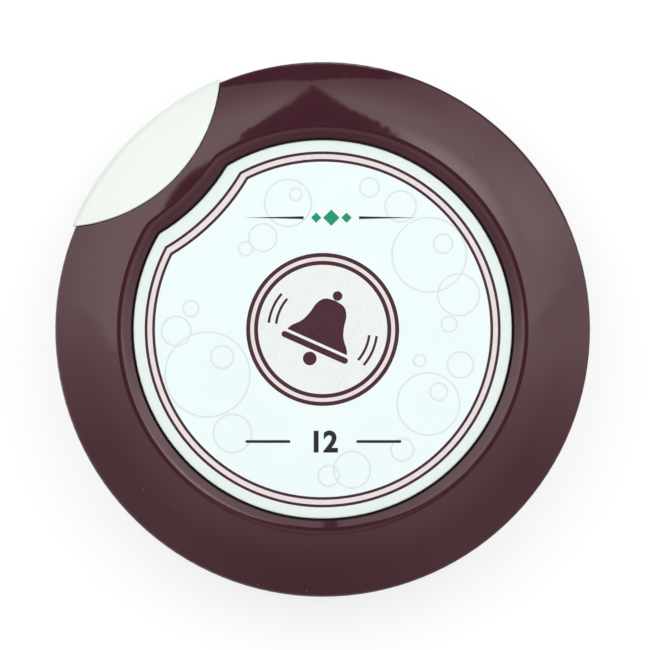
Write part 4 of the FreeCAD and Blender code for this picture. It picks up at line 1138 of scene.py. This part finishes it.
# Two limits each, and the values that belong to them where these aren't 0 and 1.
BOX_GLOW = (0.18, 0.8, 2.55, 1.85)
STEEP_FADE, FADE_START = (0.8, 0.97, 0.0, 0.45), (0.44, 0.7)
SPOT_GLOW = (0.0, 0.15, 1.75, 0.0)
BAND_LEAN, BAND_GLOW, BAND_START = 0.45, (0.04, 0.28, 0.6, 0.0), (0.3, 0.46)
BAND_BY_SIDE = (-0.05, 0.05, 0.25, 1.0)
TOP_GLOW, TOWARDS_USER = (0.2, 0.55, 0.36, 0.0), (-0.1, 0.1, 1.0, 0.0)
HORIZON_GLOW = (0.1, 0.45, 1.0, 0.0)
DARK_MIDDLE = (0.15, 0.185)
ABOVE_LEVEL = (0.75, 1.0, 0.2, 0.76)
SIDE_LEVELS = (
    (0.0, 0.48), (0.02, 0.57), (0.065, 0.69), (0.25, 0.72), (0.29, 0.84), (0.34, 0.97), (0.40, 1.2),
    (0.47, 1.6), (0.52, 1.75), (0.64, 1.7), (0.76, 0.3), (1.0, 0.22),
)
SIDE_LEVEL_TOP = 2.0


def weighted(wiring, first, first_weight, second, second_weight, rest=0.0):
    """First and second value, each times its weight, and a rest."""
    both = wiring.plus(wiring.times(first, first_weight), wiring.times(second, second_weight))
    return wiring.plus(both, rest)


def length_of(wiring, x, y):
    return wiring.maths("SQRT", wiring.plus(wiring.times(x, x), wiring.times(y, y)))


def softbox_mask(wiring, across, along):
    """One inside the softbox, which has four straight edges, and nought outside."""
    lean, top = SOFTBOX_LEAN, TOP_EDGE_LEAN
    middle_x, middle_y = SOFTBOX_MIDDLE
    past_inner = weighted(wiring, across, math.cos(lean), along, math.sin(lean),
                          -INNER_EDGE_CROSSING * math.sin(lean))
    under_top = weighted(wiring, across, math.sin(top), along, -math.cos(top),
                         TOP_EDGE_CROSSING * math.cos(top))
    over_low = weighted(wiring, across, -math.sin(lean), along, math.cos(lean),
                        SOFTBOX_LOW + middle_x * math.sin(lean) - middle_y * math.cos(lean))
    short_of_far = weighted(wiring, across, -math.cos(lean), along, -math.sin(lean),
                            SOFTBOX_FAR + middle_x * math.cos(lean) + middle_y * math.sin(lean))
    inside = None
    for distance in (past_inner, under_top, over_low, short_of_far):
        blur = LOW_EDGE_BLUR if distance is over_low else EDGE_BLUR
        edge = wiring.span(distance, -blur, blur, smooth=True)
        inside = edge if inside is None else wiring.times(inside, edge)
    return inside


def softbox_glow(wiring, x, along, from_top, lean):
    """Brightness over the softboxes. The right one has a hot spot at its corner and a band below it."""
    glow = wiring.span(from_top, *BOX_GLOW)
    fade = wiring.times(wiring.span(lean, *STEEP_FADE), wiring.span(from_top, *FADE_START))
    glow = wiring.times(glow, wiring.minus(1.0, fade))
    from_spot = length_of(wiring, wiring.minus(x, HOT_SPOT[0]), wiring.minus(along, HOT_SPOT[1]))
    spot = wiring.span(from_spot, *SPOT_GLOW, smooth=True)
    off_band = wiring.maths("ABSOLUTE", wiring.minus(lean, BAND_LEAN))
    band = wiring.times(
        wiring.span(off_band, *BAND_GLOW, smooth=True), wiring.span(from_top, *BAND_START))
    band = wiring.times(band, wiring.span(x, *BAND_BY_SIDE))
    return wiring.plus(glow, wiring.plus(spot, band))


def turned_plane(wiring, parts, turn):
    """Place where a direction meets a level plane overhead, turned about the upright axis."""
    rise = wiring.larger(parts["Z"], LEAST_RISE)
    cosine, sine = math.cos(turn), math.sin(turn)
    x = wiring.over(weighted(wiring, parts["X"], cosine, parts["Y"], sine), rise)
    y = wiring.over(weighted(wiring, parts["X"], -sine, parts["Y"], cosine), rise)
    return x, y


def mirrored_level(wiring, direction):
    """Brightness of the studio as polished surfaces mirror it: two softboxes, dark straight above."""
    parts = wiring.node("SeparateXYZ", {"Vector": direction}).outputs
    x, along = turned_plane(wiring, parts, SOFTBOX_TURN)
    across = wiring.maths("ABSOLUTE", x)
    from_top = length_of(wiring, x, along)
    near = wiring.larger(from_top, LEAST_DISTANCE)
    boxes = wiring.times(softbox_mask(wiring, across, along),
                         softbox_glow(wiring, x, along, from_top, wiring.over(along, near)))
    lean = wiring.over(turned_plane(wiring, parts, SIDES_TURN)[1], near)
    ramp = wiring.node("ValToRGB", {"Fac": wiring.span(lean, -1.0, 1.0)})
    stops = ramp.color_ramp.elements
    while len(stops) < len(SIDE_LEVELS):
        stops.new(0.5)
    for stop, (place, shade) in zip(stops, SIDE_LEVELS):
        stop.position = place
        stop.color = opaque((shade / SIDE_LEVEL_TOP,) * 3)
    near_top = wiring.times(wiring.span(from_top, *TOP_GLOW), wiring.span(lean, *TOWARDS_USER))
    sides = wiring.plus(wiring.times(ramp.outputs["Color"], SIDE_LEVEL_TOP), near_top)
    around = wiring.larger(boxes, sides)
    horizon = wiring.span(parts["Z"], *HORIZON_GLOW, smooth=True)
    around = wiring.larger(around, horizon)
    open_sky = wiring.span(from_top, *DARK_MIDDLE, smooth=True)
    above = wiring.span(lean, *ABOVE_LEVEL)
    return wiring.plus(above, wiring.times(open_sky, wiring.minus(around, above)))


CAMERA_ASIDE = (0.268 * MM, 0.511 * MM)
RING_HEIGHT = 12 * MM
FLOOR_TONE, SEEN_FLOOR_TONE, SEEN_FLOOR_GLOW = 0.8, 0.3, 0.75
AMBIENT_LEVEL, OPEN_AIR_LEVEL = 0.45, 1.0
SOFTBOX_SIZE = (1.1, 0.78)
TOP_LIGHT_PLACE, TOP_LIGHT_WIDTH, TOP_LIGHT_RADIANCE = (0, -0.05, 1.3), 0.7, 1.15


class BuildStage(bpy.types.Operator):
    """Floor, lamps, surroundings and camera"""

    bl_idname = "call_button.build_stage"
    bl_label = "Stage"

    def execute(self, context):
        stage = context.scene.call_button_stage
        self.lay_floor(stage)
        self.hang_lamps(stage)
        self.paint_surroundings(context.scene)
        camera = bpy.data.cameras.new("Camera")
        camera.lens = camera.sensor_width * stage.camera_height / stage.view_width
        camera.clip_start = 0.05
        camera.clip_end = 20
        holder = linked("Camera", camera)
        holder.location = (*CAMERA_ASIDE, stage.camera_height + RING_HEIGHT)
        context.scene.camera = holder
        context.scene.view_settings.view_transform = "Standard"
        return {"FINISHED"}

    def lay_floor(self, stage):
        bm = bmesh.new()
        bmesh.ops.create_grid(bm, x_segments=1, y_segments=1, size=stage.floor_width / 2)
        mesh = bpy.data.meshes.new("floor")
        bm.to_mesh(mesh)
        bm.free()
        material = bpy.data.materials.new("White floor")
        material.use_nodes = True
        wiring = Wiring(material.node_tree)
        wiring.tree.nodes.clear()
        plain = wiring.node("BsdfDiffuse", {"Color": opaque((FLOOR_TONE,) * 3)}).outputs[0]
        pale = wiring.node("BsdfDiffuse", {"Color": opaque((SEEN_FLOOR_TONE,) * 3)}).outputs[0]
        glow = wiring.node("Emission", {"Color": (1, 1, 1, 1), "Strength": SEEN_FLOOR_GLOW}).outputs[0]
        both = wiring.node("AddShader")
        wiring.feed(both.inputs[0], pale)
        wiring.feed(both.inputs[1], glow)
        shown = light_mix(wiring, plain, both.outputs[0])
        output = wiring.node("OutputMaterial")
        wiring.tree.links.new(shown, output.inputs["Surface"])
        mesh.materials.append(material)
        floor = linked("floor", mesh)

    def hang_lamps(self, stage):
        height = stage.lamp_height
        across, along = SOFTBOX_MIDDLE
        width, depth = SOFTBOX_SIZE
        for side in (-1, 1):
            self.hang(
                "softbox", (side * across * height, along * height, height), side * SOFTBOX_LEAN,
                width * height, depth * height, stage.lamp_radiance)
        self.hang(
            "top light", TOP_LIGHT_PLACE, 0, TOP_LIGHT_WIDTH, TOP_LIGHT_WIDTH, TOP_LIGHT_RADIANCE)

    def hang(self, name, place, turn, width, depth, radiance):
        lamp = bpy.data.lights.new(name, "AREA")
        lamp.shape = "RECTANGLE"
        lamp.size = width
        lamp.size_y = depth
        lamp.energy = radiance * math.pi * width * depth
        holder = linked(name, lamp)
        holder.location = place
        holder.rotation_euler = (0, 0, turn)
        holder.visible_camera = False
        holder.visible_glossy = False

    def paint_surroundings(self, scene):
        world = bpy.data.worlds.new("Studio")
        world.use_nodes = True
        scene.world = world
        wiring = Wiring(world.node_tree)
        wiring.tree.nodes.clear()
        direction = wiring.node("TexCoord").outputs["Generated"]
        mirrored, ambient, open_air = [
            wiring.node("Background", {"Color": (1, 1, 1, 1), "Strength": level}).outputs[0]
            for level in (mirrored_level(wiring, direction), AMBIENT_LEVEL, OPEN_AIR_LEVEL)]
        path = wiring.node("LightPath").outputs
        glossy = path["Is Glossy Ray"]
        soft = wiring.node("MixShader", {"Fac": glossy, 1: ambient, 2: mirrored}).outputs[0]
        clear = wiring.larger(path["Is Camera Ray"], path["Is Transmission Ray"])
        mixed = wiring.node("MixShader", {"Fac": clear, 1: soft, 2: open_air}).outputs[0]
        output = wiring.node("OutputWorld")
        wiring.tree.links.new(mixed, output.inputs["Surface"])


OPERATORS = (
    BuildStage, DressRing, DressShells, DressLens, DressFace, PrintBorder, PrintRings, PrintBell,
    PrintCircles, PrintNumber, PrintOrnament, FoamRing, WindSprings, WindCoil, FormDome, DressCap,
    DressBoard, DressMetal, DressCell, DressParts,
)
SETTINGS = (
    ("call_button_shell", ShellSettings),
    ("call_button_print", PrintSettings),
    ("call_button_stage", StageSettings),
)


class CallButtonPanel(bpy.types.Panel):
    """Steps that dress the call button"""

    bl_idname = "VIEW3D_PT_call_button"
    bl_label = "Call button"
    bl_space_type = "VIEW_3D"
    bl_region_type = "UI"
    bl_category = "Call button"

    def draw(self, context):
        for step in OPERATORS:
            self.layout.operator(step.bl_idname)


def register():
    for name, group in SETTINGS:
        bpy.utils.register_class(group)
        setattr(bpy.types.Scene, name, bpy.props.PointerProperty(type=group))
    for part in (*OPERATORS, CallButtonPanel):
        bpy.utils.register_class(part)


def unregister():
    for part in (CallButtonPanel, *reversed(OPERATORS)):
        bpy.utils.unregister_class(part)
    for name, group in reversed(SETTINGS):
        delattr(bpy.types.Scene, name)
        bpy.utils.unregister_class(group)


def main():
    register()
    for step in OPERATORS:
        family, name = step.bl_idname.split(".")
        getattr(getattr(bpy.ops, family), name)()


if __name__ == "__main__":
    main()
